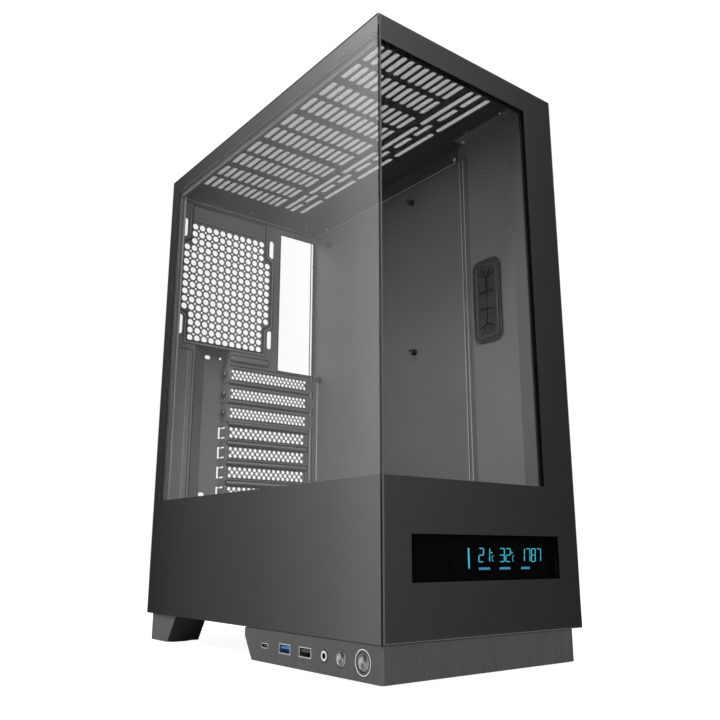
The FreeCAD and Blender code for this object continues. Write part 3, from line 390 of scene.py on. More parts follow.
psu_screws = [(20.0, 105.5), (158.0, 105.5), (20.0, 41.5), (134.0, 31.5)]
psu_opening = np.array([
    (17.5, 48.5), (17.5, 98.5), (27.0, 98.5), (27.0, 108.0), (151.0, 108.0), (151.0, 98.5),
    (160.5, 98.5), (160.5, 38.5), (127.0, 38.5), (127.0, 29.0), (27.0, 29.0), (27.0, 48.5)])
port_opening = rounded(132.15, 176.6, 270.4, 429.15, 1.0)
main_holes = [stepped_field(0), psu_opening, port_opening,
              rectangle(POCKET_LEFT, LEDGE, POCKET_BOTTOM, POCKET_TOP)]
main_holes += obrounds(grid(FAN[0] + FAN_HOLES, FAN[1] + FAN_HOLES), 21.0, 5.2)
main_holes += rings(psu_screws, 2.0) + rings([(THUMB_X, z) for z in THUMB_HEIGHTS], 1.9)
main_holes += rings([(92.3, 447.6)], 1.2)
for z in screwed:
    main_holes.append(rounded(LEDGE + SHEET, SLOT_END, z - 7.3, z + 7.3, 1.5))
for z in break_off:
    main_holes += slot_mesh(z, 3, 16, 78.0, 165.5, 3.6, 1.95)
sheet_parts = [pierced("y", REAR, REAR_OUT, rectangle(SKIN, RIGHT, PAN_TOP, CEILING), main_holes)]

columns = FAN[0] + VENT_PITCH * (np.arange(11) - 5)
rows = FAN[1] + VENT_PITCH * (7 - np.arange(16))
side_rows = rows[3:12]
side_columns = FAN[0] + VENT_PITCH * np.array([-6, 6])
vent_centres = np.concatenate([grid(columns, rows), grid(side_columns, side_rows)])
dots = grid(columns[:-1] + VENT_PITCH / 2, rows[:-1] - VENT_PITCH / 2)
side_dots = grid(FAN[0] + VENT_PITCH * np.array([-5.5, 5.5]), side_rows[:-1] - VENT_PITCH / 2)
vent_holes = rings(vent_centres, VENT_RADIUS, 18)
vent_holes += rings(np.concatenate([dots, side_dots]), VENT_DOT_RADIUS, 8)
field_level = REAR + VENT_STEP
sheet_parts.append(pierced("y", field_level, field_level + SHEET, stepped_field(SHEET), vent_holes))
sheet_parts.append(pierced("y", REAR, field_level, stepped_field(SHEET), [stepped_field(0)]))

pocket_out = REAR_OUT + POCKET_DEEP
slope_foot = POCKET_LEFT + POCKET_SLOPE
tab_holes = rings([(EAR_SCREW, z) for z in screwed], 1.7)
SLIT_NEAR, SLIT_FAR = 4.3, 5.9
slit_left, slit_fold, slit_right = LEDGE - 3.3, LEDGE - 1.1, LEDGE - 0.3
fold_slits = []
for z in break_off:
    for low in (z - SLIT_FAR, z + SLIT_NEAR):
        tab_holes.append(rectangle(REAR + 3.8, pocket_out - 0.3, low, low + SLIT_FAR - SLIT_NEAR))
    fold_slits.append(np.array([
        (slit_left, z - SLIT_FAR), (slit_right, z - SLIT_FAR), (slit_right, z - SLIT_NEAR),
        (slit_fold, z - SLIT_NEAR), (slit_fold, z + SLIT_NEAR), (slit_right, z + SLIT_NEAR),
        (slit_right, z + SLIT_FAR), (slit_left, z + SLIT_FAR)]))
ledge_outline = rectangle(REAR_OUT, pocket_out, POCKET_BOTTOM, POCKET_TOP)
back_holes = obrounds([(53.2, POCKET_TOP - 6.5), (53.2, POCKET_BOTTOM + 7.5)], 6.5, 4.0, along_v=False)
back_holes += rings([(68.0, POCKET_TOP - 6.0)], 1.4, 12) + fold_slits
sheet_parts.append(pierced("x", LEDGE, LEDGE + SHEET, ledge_outline, tab_holes))
pocket_back = rectangle(slope_foot, LEDGE, POCKET_BOTTOM, POCKET_TOP)
sheet_parts.append(pierced("y", pocket_out - SHEET, pocket_out, pocket_back, back_holes))
slope = np.array([(POCKET_LEFT, REAR), (slope_foot, pocket_out - SHEET), (slope_foot, pocket_out),
                  (POCKET_LEFT - SHEET, REAR)])
sheet_parts.append(pierced("z", POCKET_BOTTOM, POCKET_TOP, slope))
pocket_lid = np.array([(POCKET_LEFT - SHEET, REAR), (LEDGE + SHEET, REAR), (LEDGE + SHEET, pocket_out),
                       (slope_foot, pocket_out)])
for level in (POCKET_TOP, POCKET_BOTTOM - SHEET):
    sheet_parts.append(pierced("z", level, level + SHEET, pocket_lid))

sheet_parts.append(pierced("x", SKIN, SKIN + SHEET, rectangle(REAR - 16.0, REAR, 121.3, 435.7)))
sheet_parts.append(pierced("x", RIGHT - SHEET, RIGHT, rectangle(REAR - 12.0, REAR, PAN_TOP + 12.3, CEILING)))


def lofted(space, capped):
    """A skin through a stack of closed rings of points, one row of the stack each: quads
    between neighbouring rings, and a flat face over each ring named in capped."""
    count, sides = space.shape[:2]
    row = np.arange(count - 1)[:, None] * sides
    this = row + np.arange(sides)[None]
    following = row + np.roll(np.arange(sides), -1)[None]
    faces = np.stack([this, following, following + sides, this + sides], axis=-1).reshape(-1, 4).tolist()
    faces += [list(range(ring * sides, (ring + 1) * sides)) for ring in capped]
    return space.reshape(-1, 3), faces


def pressed_rib(u0, u1, v0, v1, level, rise, bevel):
    """A pressed rib: an obround on the sheet joined by sloping sides to a smaller one that
    stands rise above it. Each ring is the outline drawn in by its share of the bevel."""
    ring_sizes = [(0.0, 0.0), (0.35 * bevel, 0.6 * rise), (bevel, rise)]
    radius = (v1 - v0) / 2
    loops = []
    for shrink, height in ring_sizes:
        flat = rounded(u0 + shrink, u1 - shrink, v0 + shrink, v1 - shrink, radius - shrink - 0.01, 6)
        loops.append(np.stack([flat[:, 0], np.full(len(flat), level - height), flat[:, 1]], axis=1))
    return lofted(np.array(loops), [len(loops) - 1])


RIB_START = LEDGE + 1.5
RIB_RISE = 1.2
for z in rib_heights:
    sheet_parts.append(pressed_rib(RIB_START, SLOT_END + 1.0, z - 1.6, z + 1.6, REAR, RIB_RISE, 0.9))
sheet_parts.append(pressed_rib(RIB_START, LEDGE + 47.5, POCKET_TOP - 9.5, POCKET_TOP - 3.5, REAR,
                               RIB_RISE, 1.2))

# Painted light: the rear panel and the slot strips take a much lighter copy of the black chassis powder coat.
# It stands for the light on the panel's inner face.
rear_lit_coat = powder_coat("rear_lit_powder_coat", grey(0.085), grey(0.235))
rear_sheet = add_mesh("rear_sheet", *joined(sheet_parts), "chassis", "dark_steel", rear_lit_coat)
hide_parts("rear_panel")

# Pressed lines of the rear panel. Narrow folds and grooves where the die bent
# the sheet: round the fan field, the slot covers' meshes and the ribs. Each is a
# low ridge: near-black in the grooves, a painted shade, and light grey on the
# folds, a painted highlight.


def pressed_loop(points, level, width, rise, normal="y", closed=True):
    """A rounded ridge along a flat run of points in the plane square to an axis: at each point
    a shallow arch of given width and rise is set across the mean of the two directions there."""
    path = np.asarray(points, float)
    following = np.roll(path, -1, axis=0) - path
    before = path - np.roll(path, 1, axis=0)
    if not closed:
        following[-1] = before[-1]
        before[0] = following[0]
    following /= np.linalg.norm(following, axis=1, keepdims=True)
    before /= np.linalg.norm(before, axis=1, keepdims=True)
    ahead = following + before
    ahead /= np.linalg.norm(ahead, axis=1, keepdims=True)
    across = np.stack([-ahead[:, 1], ahead[:, 0]], axis=1)
    reach = width / 2 / np.maximum(np.sum(ahead * following, axis=1), 0.5)
    turn = np.linspace(0, math.pi, 5)
    flat = path[:, None, :] + across[:, None, :] * (np.cos(turn)[None] * reach[:, None])[:, :, None]
    axis = "xyz".index(normal)
    space = np.empty((len(path), len(turn), 3))
    space[:, :, [index for index in range(3) if index != axis]] = flat
    space[:, :, axis] = level - rise * np.sin(turn)
    rows = np.arange(len(path) if closed else len(path) - 1)
    this = (rows[:, None] * len(turn) + np.arange(len(turn) - 1)[None]).reshape(-1)
    after = (((rows + 1) % len(path))[:, None] * len(turn) + np.arange(len(turn) - 1)[None]).reshape(-1)
    return space.reshape(-1, 3), np.stack([this, this + 1, after + 1, after], axis=1).tolist()


# Painted shade: a near-black coat for the ridges laid in the grooves. The tray bead's and the grommet lip's
# shade lines use it too.
painted_shade_coat = powder_coat("painted_shade_coat", grey(0.006), grey(0.018))
FIELD_TOP = 418.0
FIELD_ENDS = (24.0, 111.0)
FOLD_FOOT = 124.0
FOLD_TOP = 266.0
STEP_X = 25.4
groove_shades = [pressed_loop(stepped_field(-0.3), REAR, 1.4, 0.25),
           pressed_loop(stepped_field(3.2), REAR, 0.8, 0.2),
           pressed_loop([(x, FIELD_TOP) for x in FIELD_ENDS], field_level, 0.9, 0.3, closed=False),
           pressed_loop(rounded(131.2, 177.4, 269.6, 430.0, 1.5), REAR, 1.0, 0.3)]
for index, z in enumerate(slot_heights):
    level = REAR - SHEET if index < SCREWED_SLOTS else REAR
    groove_shades.append(pressed_loop(rounded(74.6, 169.8, z - 5.9, z + 5.9, 2.5), level, 0.9, 0.3))
for z in screwed:
    groove_shades.append(pressed_loop(rounded(LEDGE + 0.8, SLOT_END + 1.4, z - 9.6, z + 9.6, 0.8), REAR, 1.6, 0.9))
for z in rib_heights:
    rib_edge = rounded(LEDGE + 0.9, SLOT_END + 1.6, z - 2.4, z + 2.4, 2.35)
    groove_shades.append(pressed_loop(rib_edge, REAR, 1.9, 0.35))
top_rib_edge = rounded(LEDGE + 0.9, LEDGE + 48.1, POCKET_TOP - 10.1, POCKET_TOP - 2.9, 3.5)
groove_shades.append(pressed_loop(top_rib_edge, REAR, 1.3, 0.35))
corner_step = [(8.0, 277.5), (30.5, 277.5), (30.5, POCKET_BOTTOM)]
groove_shades.append(pressed_loop(corner_step, REAR, 0.9, 0.3, closed=False))
for x in (173.6, 178.4):
    groove_shades.append(pressed_loop([(x, FOLD_FOOT), (x, 262.0), (x, 431.0)], REAR, 1.3, 0.3, closed=False))
add_mesh("rear_groove_shades", *joined(groove_shades), "chassis", "dark_steel", painted_shade_coat, smooth=True)
# Painted highlight: a light grey coat on narrow ridges along the folds, the ceiling's hems and the tray bead.
# It stands for the light that their edges catch.
painted_highlight_coat = powder_coat("painted_highlight_coat", grey(0.24), grey(0.42))
tray_folds = ((176.0, REAR, "y"), (330.0, 180.0, "x"))
fold_highlights = [pressed_loop([(u, FOLD_FOOT), (u, FOLD_TOP)], level, 2.0, 0.5, normal, closed=False)
               for u, level, normal in tray_folds]
fold_highlights += [
    pressed_loop([(STEP_X, POCKET_BOTTOM), (STEP_X, 276.0)], REAR, 0.9, 0.4, closed=False),
    pressed_loop(stepped_field(1.7), REAR, 0.7, 0.25),
    pressed_loop([(x, FIELD_TOP + 1.2) for x in FIELD_ENDS], field_level, 0.7, 0.3, closed=False)]
for z in screwed:
    fold_highlights.append(pressed_loop([(74.2, z - 5.0), (74.2, z + 5.0)], REAR - SHEET, 1.4, 0.3, closed=False))
add_mesh("rear_fold_highlights", *joined(fold_highlights), "chassis", "dark_steel", painted_highlight_coat, smooth=True)

# Screwed slot covers. Three punched steel strips with a folded ear that lies
# on the pocket's ledge, each held there by one screw, drawn as a pan head without its cross.

COVER_HALF = 8.8
COVER_END = 178.5
EAR_DEPTH = 11.3
TONGUE_HALF = 5.0

for index, z in enumerate(screwed):
    low, high = z - COVER_HALF, z + COVER_HALF
    strip = np.array([(LEDGE - SHEET, low), (SLOT_END + 1, low), (COVER_END, z - TONGUE_HALF),
                      (COVER_END, z + TONGUE_HALF), (SLOT_END + 1, high), (LEDGE - SHEET, high)])
    fine_mesh = slot_mesh(z, 3, 20, 77.0, 167.0, 3.5, 1.75)
    ear = rounded(REAR, REAR + EAR_DEPTH, low, high, 1.2)
    parts = [pierced("y", REAR - SHEET, REAR, strip, fine_mesh),
             pierced("x", LEDGE - SHEET, LEDGE, ear, rings([(EAR_SCREW, z)], 1.7))]
    cover = add_mesh("slot_strip_%d" % (index + 1), *joined(parts), "chassis", "dark_steel", rear_lit_coat)
    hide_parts("slot_cover_%d" % (index + 1))


def turned(profile, sides=32):
    """A lathed form about +Z: a run of (radius, height) points carried round a circle and
    closed at both ends, each end on the axis."""
    profile = np.asarray(profile, float)
    angle = 2 * math.pi * np.arange(sides) / sides
    ring = np.stack([np.cos(angle), np.sin(angle)], axis=1)
    space = np.empty((len(profile), sides, 3))
    space[:, :, :2] = profile[:, None, :1] * ring[None]
    space[:, :, 2] = profile[:, None, 1]
    return lofted(space, [0, len(profile) - 1])


def aimed(mesh_parts, axis, start):
    """Turns a form made about +Z to point along an axis and sets it at a place in millimetres."""
    points, faces = mesh_parts
    order = {"x": (2, 0, 1), "y": (1, 2, 0), "-x": (2, 1, 0)}[axis]
    moved = points[:, order].copy()
    if axis.startswith("-"):
        moved[:, "xyz".index(axis[-1])] *= -1.0
    return moved + np.asarray(start, float), faces


def screw_head(radius, height, shank, length):
    """A pan head with a rounded rim over a plain shank, the head's top pointing along +Z."""
    return turned([(0.01, -length), (shank, -length), (shank, 0.0), (radius, 0.0), (radius, 0.45 * height),
                   (0.93 * radius, 0.78 * height), (0.72 * radius, height), (0.5 * radius, height),
                   (0.12 * radius, 0.45 * height), (0.01, 0.45 * height)], 24)


black_zinc = Finish("black_zinc", Metallic=0.85)
zinc_grain = black_zinc.noise(0.5, 2.0)
black_zinc.set(Base_Color=black_zinc.blend(zinc_grain, (0.05, 0.05, 0.055), (0.13, 0.13, 0.14)),
               Roughness=0.28 + zinc_grain * 0.25, Normal=black_zinc.bump(zinc_grain, 0.03))
parts = [aimed(screw_head(3.4, 2.4, 1.5, 6.0), "-x", (LEDGE - SHEET, EAR_SCREW, z)) for z in screwed]
screws = add_mesh("slot_screw_heads", *joined(parts), "chassis", "screw_steel", black_zinc.material,
                  smooth=True)
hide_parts("slot_screws")
dress(["base_screws"], black_zinc.material)

# Rivets. Bright steel pop rivets where the ceiling's folds meet the rear
# panel and the tray.

rivet_steel = Finish("rivet_steel", Metallic=0.8)
rivet_marks = rivet_steel.noise(0.5, 2.0)
rivet_steel.set(Base_Color=rivet_steel.blend(rivet_marks, grey(0.45), grey(0.75)),
                Roughness=0.35 + rivet_marks * 0.2, Normal=rivet_steel.bump(rivet_marks, 0.02))
dress(["rivets"], rivet_steel.material)

# Ceiling. A steel sheet with its edges folded down, punched with paired rows
# of round-ended slots for fans or a radiator, and pressed lines between the
# short and the long slots.

FLANGE = 436.0
TRAY = 180.0
COLUMN = 158.6
GAP = 0.3
SLOT_WIDE = 5.2
SLOT_LONG = 23.8
column_x = 25.2 + 7.78 * np.arange(12)
pair_start = 25.0 + 60.0 * np.arange(5)
row_centres = np.sort(np.concatenate([pair_start, pair_start + 28.4])) + SLOT_LONG / 2
ceiling_holes = obrounds(grid(column_x, row_centres), SLOT_LONG, SLOT_WIDE, steps=5)
ceiling_holes += obrounds(grid([131.9], row_centres), SLOT_LONG, SLOT_WIDE, steps=5)
long_runs = [(26.0, 91.0), (95.5, 150.0), (154.5, 209.0), (213.5, 268.0), (272.5, 315.0)]
for start, end in long_runs:
    centres = grid([123.6, 143.4], [(start + end) / 2])
    ceiling_holes += obrounds(centres, end - start, SLOT_WIDE, steps=5)
ceiling_holes += rings(grid([165.5], [34.0, 75.0]), 1.1, 10)
parts = [pierced("z", CEILING, CEILING + SHEET, rectangle(SKIN, TRAY, SKIN, REAR_OUT), ceiling_holes),
         pierced("x", SKIN, SKIN + SHEET, rectangle(SKIN, REAR, FLANGE, CEILING)),
         pierced("y", SKIN, SKIN + SHEET, rectangle(SKIN + SHEET, COLUMN - GAP, FLANGE, CEILING)),
         pierced("y", REAR - SHEET, REAR,
                 rectangle(SKIN + SHEET + GAP, TRAY - SHEET - GAP, FLANGE, CEILING)),
         pierced("x", TRAY - SHEET, TRAY, rectangle(100.3, REAR - SHEET, FLANGE, CEILING))]

ceiling_lines = [(x, 22.0, 318.0) for x in (116.0, 118.6, 137.6)] + [(x, 34.0, 75.0) for x in (154.0, 166.5)]
for x, start, end in ceiling_lines:
    parts.append(pressed_loop([(x, start), (x, end)], CEILING, 1.0, 0.5, "z", closed=False))
# Painted shade: the ceiling's coat is a darker copy of the black chassis powder coat. It stands for the shade
# under the top of the case.
ceiling_shaded_coat = powder_coat("ceiling_shaded_powder_coat", (0.012, 0.012, 0.0125), (0.036, 0.036, 0.037))
ceiling = add_mesh("slotted_ceiling", *joined(parts), "chassis", "dark_steel", ceiling_shaded_coat)
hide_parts("top_panel")
# Painted highlight: two narrow ridges along the ceiling's hems in the light edge coat.
hem_highlights = [pressed_loop([(y, FLANGE + 1.0) for y in (102.0, 334.0)], TRAY - SHEET, 0.9, 0.4, "x", closed=False),
       pressed_loop([(SKIN + 2.0, 439.0), (176.0, 439.0)], REAR - SHEET, 0.8, 0.3, closed=False)]
add_mesh("ceiling_hem_highlights", *joined(hem_highlights), "chassis", "dark_steel", painted_highlight_coat, smooth=True)

# Dust filters. A thin matt plastic frame with a woven nylon mesh: one lies on
# the ceiling, held by magnets, and one slides under the bottom pan.


def nylon_mesh(name, thread_pitch=0.9):
    """Woven mesh over a plain rim: two crossed sets of threads, open between them."""
    finish = Finish(name, Roughness=0.6)
    x, y, _ = finish.axes()
    across = abs(finish.math("FRACT", x / thread_pitch) - 0.5)
    along = abs(finish.math("FRACT", y / thread_pitch) - 0.5)
    thread = finish.math("MAXIMUM", across, along)
    woven = finish.node("ShaderNodeMapRange", {"clamp": True},
                        {0: thread, 1: 0.22, 2: 0.42, 3: 0.30, 4: 0.85})
    return finish, woven


top_mesh, top_weave = nylon_mesh("filter_mesh")
MESH_START = 16.3
MESH_RIGHT = 176.0
MESH_REAR = 328.0
mesh_x, mesh_y, _ = top_mesh.axes()
in_mesh = (mesh_x > MESH_START) * (mesh_x < MESH_RIGHT) * (mesh_y > MESH_START) * (mesh_y < MESH_REAR)
dust = top_mesh.noise(3.0, 3.0)
top_mesh.set(Base_Color=top_mesh.blend(dust, (0.16, 0.16, 0.165), (0.42, 0.42, 0.43)),
             Alpha=1.0 - in_mesh * (1.0 - top_weave * (0.42 + dust * 0.6)),
             Normal=top_mesh.bump(top_weave, 0.1))
dress(["top_filter"], top_mesh.material)
low_mesh, low_weave = nylon_mesh("bottom_filter_mesh")
low_mesh.set(Base_Color=low_mesh.blend(low_weave, (0.02, 0.02, 0.021), (0.06, 0.06, 0.062)),
             Normal=low_mesh.bump(low_weave, 0.2))
dress(["bottom_filter"], low_mesh.material)

# Motherboard tray and front wall. Plain folded sheets that meet at a pressed
# bead, with six turned brass standoffs and a slit rubber grommet.

dress(["motherboard_tray"], powder_coat("tray_powder_coat", grey(0.042), grey(0.118), 1.3))
dress(["front_wall"], powder_coat("wall_powder_coat", grey(0.056), grey(0.150), 1.3))
# Painted highlight and painted shade along the tray's bead: narrow ridges in the light edge coat and in the
# near-black shade coat.
bead_highlights = [pressed_loop([(y, FOLD_FOOT), (y, FLANGE)], TRAY - 0.4, 1.2, 0.4, "x", closed=False)
              for y in (98.6, 94.4)]
bead_shade_lines = [pressed_loop([(y, FOLD_FOOT), (y, FLANGE)], level, 1.3, 0.2, "x", closed=False)
             for y, level in ((96.6, TRAY - 1.2), (90.0, TRAY))]
add_mesh("tray_bead_highlights", *joined(bead_highlights), "chassis", "dark_steel", painted_highlight_coat, smooth=True)
add_mesh("tray_bead_shades", *joined(bead_shade_lines), "chassis", "dark_steel", painted_shade_coat, smooth=True)
brass = Finish("turned_brass", Metallic=1.0)
lathe_marks = brass.noise(0.3, 2.0, (1.0, 8.0, 8.0))
brass.set(Base_Color=brass.blend(lathe_marks, (0.035, 0.033, 0.030), (0.16, 0.155, 0.145)),
          Roughness=0.25 + lathe_marks * 0.2, Normal=brass.bump(lathe_marks, 0.03))
dress(["standoffs"], brass.material)
rubber = Finish("grommet_rubber", Metallic=0.0, Specular_IOR_Level=0.15)
rubber_grain = rubber.noise(0.8, 3.0)
rubber.set(Base_Color=rubber.blend(rubber_grain, grey(0.020), grey(0.050)),
           Roughness=0.55 + rubber_grain * 0.2, Normal=rubber.bump(rubber_grain, 0.08))
dress(["cable_grommet", "foot_pads"], rubber.material)
grommet_face = (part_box("cable_grommet")[0][0] - case_corner[0]) / MM
lip_shade = [pressed_loop(rounded(54.4, 85.8, 253.8, 328.8, 7.0), grommet_face + 0.1, 0.9, 0.1, "x"),
             pressed_loop(rounded(58.6, 81.6, 258.6, 324.0, 4.0), grommet_face, 1.3, 0.25, "x")]
add_mesh("grommet_lip_shades", *joined(lip_shade), "chassis", "rubber", painted_shade_coat, smooth=True)

# Moulded plastic pieces: catch clips, drive caddies, the display's housing,
# the dark tongues and the two rear feet, in a fine spark-eroded black, and the
# two small circuit boards under their green mask.


def moulded(name, dark, light, rough=0.45):
    """Moulded plastic: a fine even texture with a faint sheen."""
    finish = Finish(name, Metallic=0.0)
    texture = finish.noise(0.6, 2.0)
    flow = finish.noise(30.0, 2.0)
    finish.set(Base_Color=finish.blend(texture * 0.6 + flow * 0.4, dark, light),
               Roughness=rough + texture * 0.18, Normal=finish.bump(texture, 0.05))
    return finish.material


black_plastic = moulded("black_plastic", (0.016, 0.016, 0.017), (0.036, 0.036, 0.038))
dress(["catch_clips", "drive_caddy_1", "drive_caddy_2", "usb_black_tongue", "usb_c_tongue",
       "switches"], black_plastic)
dress(["display_housing"], moulded("housing_plastic", grey(0.001), grey(0.003)))
foot_plastic = moulded("foot_plastic", (0.030, 0.030, 0.031), (0.060, 0.060, 0.062))
dress(["rear_foot_left", "rear_foot_right"], foot_plastic)
board = moulded("solder_mask", (0.008, 0.016, 0.012), (0.016, 0.030, 0.022), 0.3)
dress(["port_board", "switch_board"], board)

# Steel side. A folded panel with a pressed-out field, in the same powder coat,
# and two captive thumbscrews with knurled heads, a round recess drawn where their cross slot is.

side_coat = powder_coat("side_powder_coat", (0.038, 0.038, 0.040), (0.085, 0.086, 0.090))
dress(["steel_side_panel"], side_coat)
THUMB_RADIUS = 4.2


def knurled_head(radius, length, teeth=28):
    """A knurled knob about +Z: the radius follows a wave round the rim, smooth at both ends."""
    sides = teeth * 4
    angle = 2 * math.pi * np.arange(sides) / sides
    wave = 0.5 + 0.5 * np.cos(teeth * angle)
    heights = np.array([0.0, 0.25, 0.5, length - 1.1, length - 0.8, length - 0.35, length, length,
                        length - 1.2, length - 1.2])
    reach = np.array([0.80, 0.93, 0.93, 0.93, 0.90, 0.86, 0.76, 0.52, 0.50, 0.01]) * radius
    tooth = np.array([0.0, 0.0, 1.0, 1.0, 0.0, 0.0, 0.0, 0.0, 0.0, 0.0]) * 0.07 * radius
    across = reach[:, None] + tooth[:, None] * wave[None]
    level = np.repeat(heights[:, None], sides, axis=1)
    space = np.stack([across * np.cos(angle), across * np.sin(angle), level], axis=-1)
    return lofted(space, [0, len(heights) - 1])


THUMB_LENGTH = 6.0
SHANK_LENGTH = 8.0
SHANK_RADIUS = 1.75
shank_profile = [(0.01, 0.0), (1.4, 0.0), (SHANK_RADIUS, 0.5), (SHANK_RADIUS, SHANK_LENGTH),
                 (0.01, SHANK_LENGTH)]
head_foot = (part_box("lower_thumbscrew")[1][1] - case_corner[1]) / MM - THUMB_LENGTH
for name, z in zip(("lower", "upper"), THUMB_HEIGHTS):
    body = name + "_screw"
    head = aimed(knurled_head(THUMB_RADIUS, THUMB_LENGTH), "y", (THUMB_X, head_foot, z))
    shank = aimed(turned(shank_profile, 20), "y", (THUMB_X, head_foot - SHANK_LENGTH, z))
    knob = add_mesh(name + "_knurled_screw", *joined([head, shank]), body, "screw_steel", black_zinc.material)
    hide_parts(name + "_thumbscrew")

# Glass panels. Two 4 mm tempered sheets that meet in a mitre with no post.
# Each has a black printed border, over the steel frame glued behind it, and
# none at the mitred edge. The ink fills the outer half of the sheet's depth.

GLASS_BOTTOM = 23.4
CASE_TOP = 454.0
BORDER_TOP = CASE_TOP - 20.6
BORDER_LOW = GLASS_BOTTOM + 100.4
BORDER_RIGHT = 155.6
SIDE_BORDER_TOP = 440.3
SIDE_BORDER_REAR = 327.8
PRINT_DEPTH = 2.0
JOINT_LINE = 0.9
JOINT_EDGE = 2.3
TOP_LINE = 1.3
FOOT_RIM = 0.7
REAR_RIM = 339.0
FRONT_MIRROR = 0.12
DISPLAY_MIRROR = 0.02
DISPLAY = (24.3, 167.5, 58.4, 88.2)


def printed_glass(name, side):
    """Clear glass with a printed border. The clear part mirrors by its Fresnel share, the
    front much less than the side, and lets the rest through; ground edges are lighter."""
    finish = Finish(name, Roughness=0.06, Specular_IOR_Level=0.5, IOR=1.5)
    x, y, z = finish.axes()
    if side:
        clear = (z > BORDER_LOW) * (z < SIDE_BORDER_TOP) * (y < SIDE_BORDER_REAR)
        depth, mirror_share = x, 1.0
        ground = y > REAR_RIM
        sealed = (y < JOINT_LINE) + (z > CASE_TOP - TOP_LINE)
    else:
        left, right, low, high = DISPLAY
        shown = (x > left) * (x < right) * (z > low) * (z < high)
        clear = (z > BORDER_LOW) * (z < BORDER_TOP) * (x < BORDER_RIGHT) + shown
        depth, mirror_share = y, FRONT_MIRROR - shown * (FRONT_MIRROR - DISPLAY_MIRROR)
        ground = (x < JOINT_EDGE) + (z < GLASS_BOTTOM + FOOT_RIM)
        sealed = x < JOINT_LINE
    ink = finish.noise(0.5, 2.0)
    smear = finish.noise(120.0, 2.0)
    finish.set(Base_Color=finish.blend(ink, grey(0.008), grey(0.016)), Roughness=0.05 + smear * 0.05)
    outer_half = 1.0 - (depth > PRINT_DEPTH)
    facing = 1.0 - finish.node("ShaderNodeNewGeometry", output="Backfacing")
    mirror = finish.node("ShaderNodeFresnel", sockets={"IOR": 1.5}) * facing * mirror_share
    through = finish.node("ShaderNodeBsdfTransparent", sockets={"Color": (*grey(0.985), 1.0)})
    gloss = finish.node("ShaderNodeBsdfGlossy", sockets={"Roughness": 0.03})
    sheet = finish.mix((1.0 - clear) * outer_half, finish.mix(mirror, through, gloss), finish.coat())
    ground_edge = finish.node("ShaderNodeBsdfDiffuse", sockets={"Color": (*grey(0.08), 1.0)})
    seal = finish.node("ShaderNodeBsdfDiffuse", sockets={"Color": (*grey(0.022), 1.0)})
    edged = finish.mix(ground * outer_half > 0.5, sheet, ground_edge)
    finish.feed(finish.end.inputs["Surface"], finish.mix(sealed > 0.5, edged, seal))
    return finish.material


dress(["side_glass"], printed_glass("side_glass_print", True))
dress(["front_glass"], printed_glass("front_glass_print", False))

# Display. A black window with lit figures behind the front glass: a bar, two
# temperatures of two digits and a four-digit speed, in seven-segment digits.


SEGMENT_WIDTH = 0.13
SEGMENT_REACH = 0.9
DIGIT_LEAN = 0.08


def segment(u0, v0, u1, v1, width):
    """One bar of a digit with pointed ends."""
    start, end = np.array([u0, v0]), np.array([u1, v1])
    ahead = (end - start) / np.linalg.norm(end - start) * width / 2
    side = np.array([-ahead[1], ahead[0]])
    return np.array([start, start + ahead + side, end - ahead + side, end,
                     end - ahead - side, start + ahead - side])


def digit(left, low, width, height, value):
    """The lit bars of one seven-segment digit, leaning a little to the right."""
    middle, top, right = low + height / 2, low + height, left + width
    bars = {"a": (left, top, right, top), "b": (right, middle, right, top), "c": (right, low, right, middle),
            "d": (left, low, right, low), "e": (left, low, left, middle), "f": (left, middle, left, top),
            "g": (left, middle, right, middle)}
    lit = {"1": "bc", "2": "abged", "3": "abgcd", "7": "abc", "8": "abcdefg", "C": "adef"}
    shapes = []
    for key in lit[value]:
        shape = segment(*bars[key], width * SEGMENT_WIDTH)
        centre = shape.mean(axis=0)
        shape = centre + (shape - centre) * SEGMENT_REACH
        shape[:, 0] += DIGIT_LEAN * (shape[:, 1] - low)
        shapes.append(shape)
    return shapes


left, right, low, high = DISPLAY
window_back, window_face = 4.8, 4.35
window = pierced("y", window_face, window_back, rounded(left, right, low, high, 0.8))
window_black = Finish("display_window_black", Roughness=0.12, Metallic=0.0, Specular_IOR_Level=0.02)
window_tone = window_black.noise(25.0, 2.0)
window_tint = window_black.blend(window_tone, (0.0005, 0.0005, 0.0006), (0.0016, 0.0016, 0.0018))
window_black.set(Base_Color=window_tint, Roughness=0.10 + window_tone * 0.08)
pane = add_mesh("display_pane", *joined([window]), "front_glass_panel", "display_black",
                window_black.material)
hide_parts("display_window")

figures = []
DIGIT_LOW = 70.6
DIGIT_HEIGHT = 8.8
DIGIT_GAP = 1.7
for start, width, reading in ((88.2, 4.4, "21"), (109.0, 4.4, "32"), (130.2, 4.2, "1787")):
    for place, value in enumerate(reading):
        figures += digit(start + place * (width + DIGIT_GAP), DIGIT_LOW, width, DIGIT_HEIGHT, value)
for start in (101.2, 122.0):
    figures += digit(start, DIGIT_LOW + 0.4, 1.9, 3.6, "C")
    figures += rings([(start - 0.2, DIGIT_LOW + 6.0)], 0.55, 10)
figures.append(rectangle(78.2, 79.2, 66.4, 79.6))
lit_parts = [pierced("y", 4.05, window_face, shape) for shape in figures]
glow = Finish("display_glow", Roughness=0.4, Emission_Strength=1.0)
spread = glow.noise(6.0, 1.0)
glow.set(Base_Color=glow.blend(spread, (0.01, 0.18, 0.26), (0.02, 0.24, 0.34)),
         Emission_Color=glow.blend(spread, (0.03, 0.30, 0.42), (0.06, 0.44, 0.56)))
add_mesh("display_figures", *joined(lit_parts), "front_glass_panel", "display_black", glow.material)

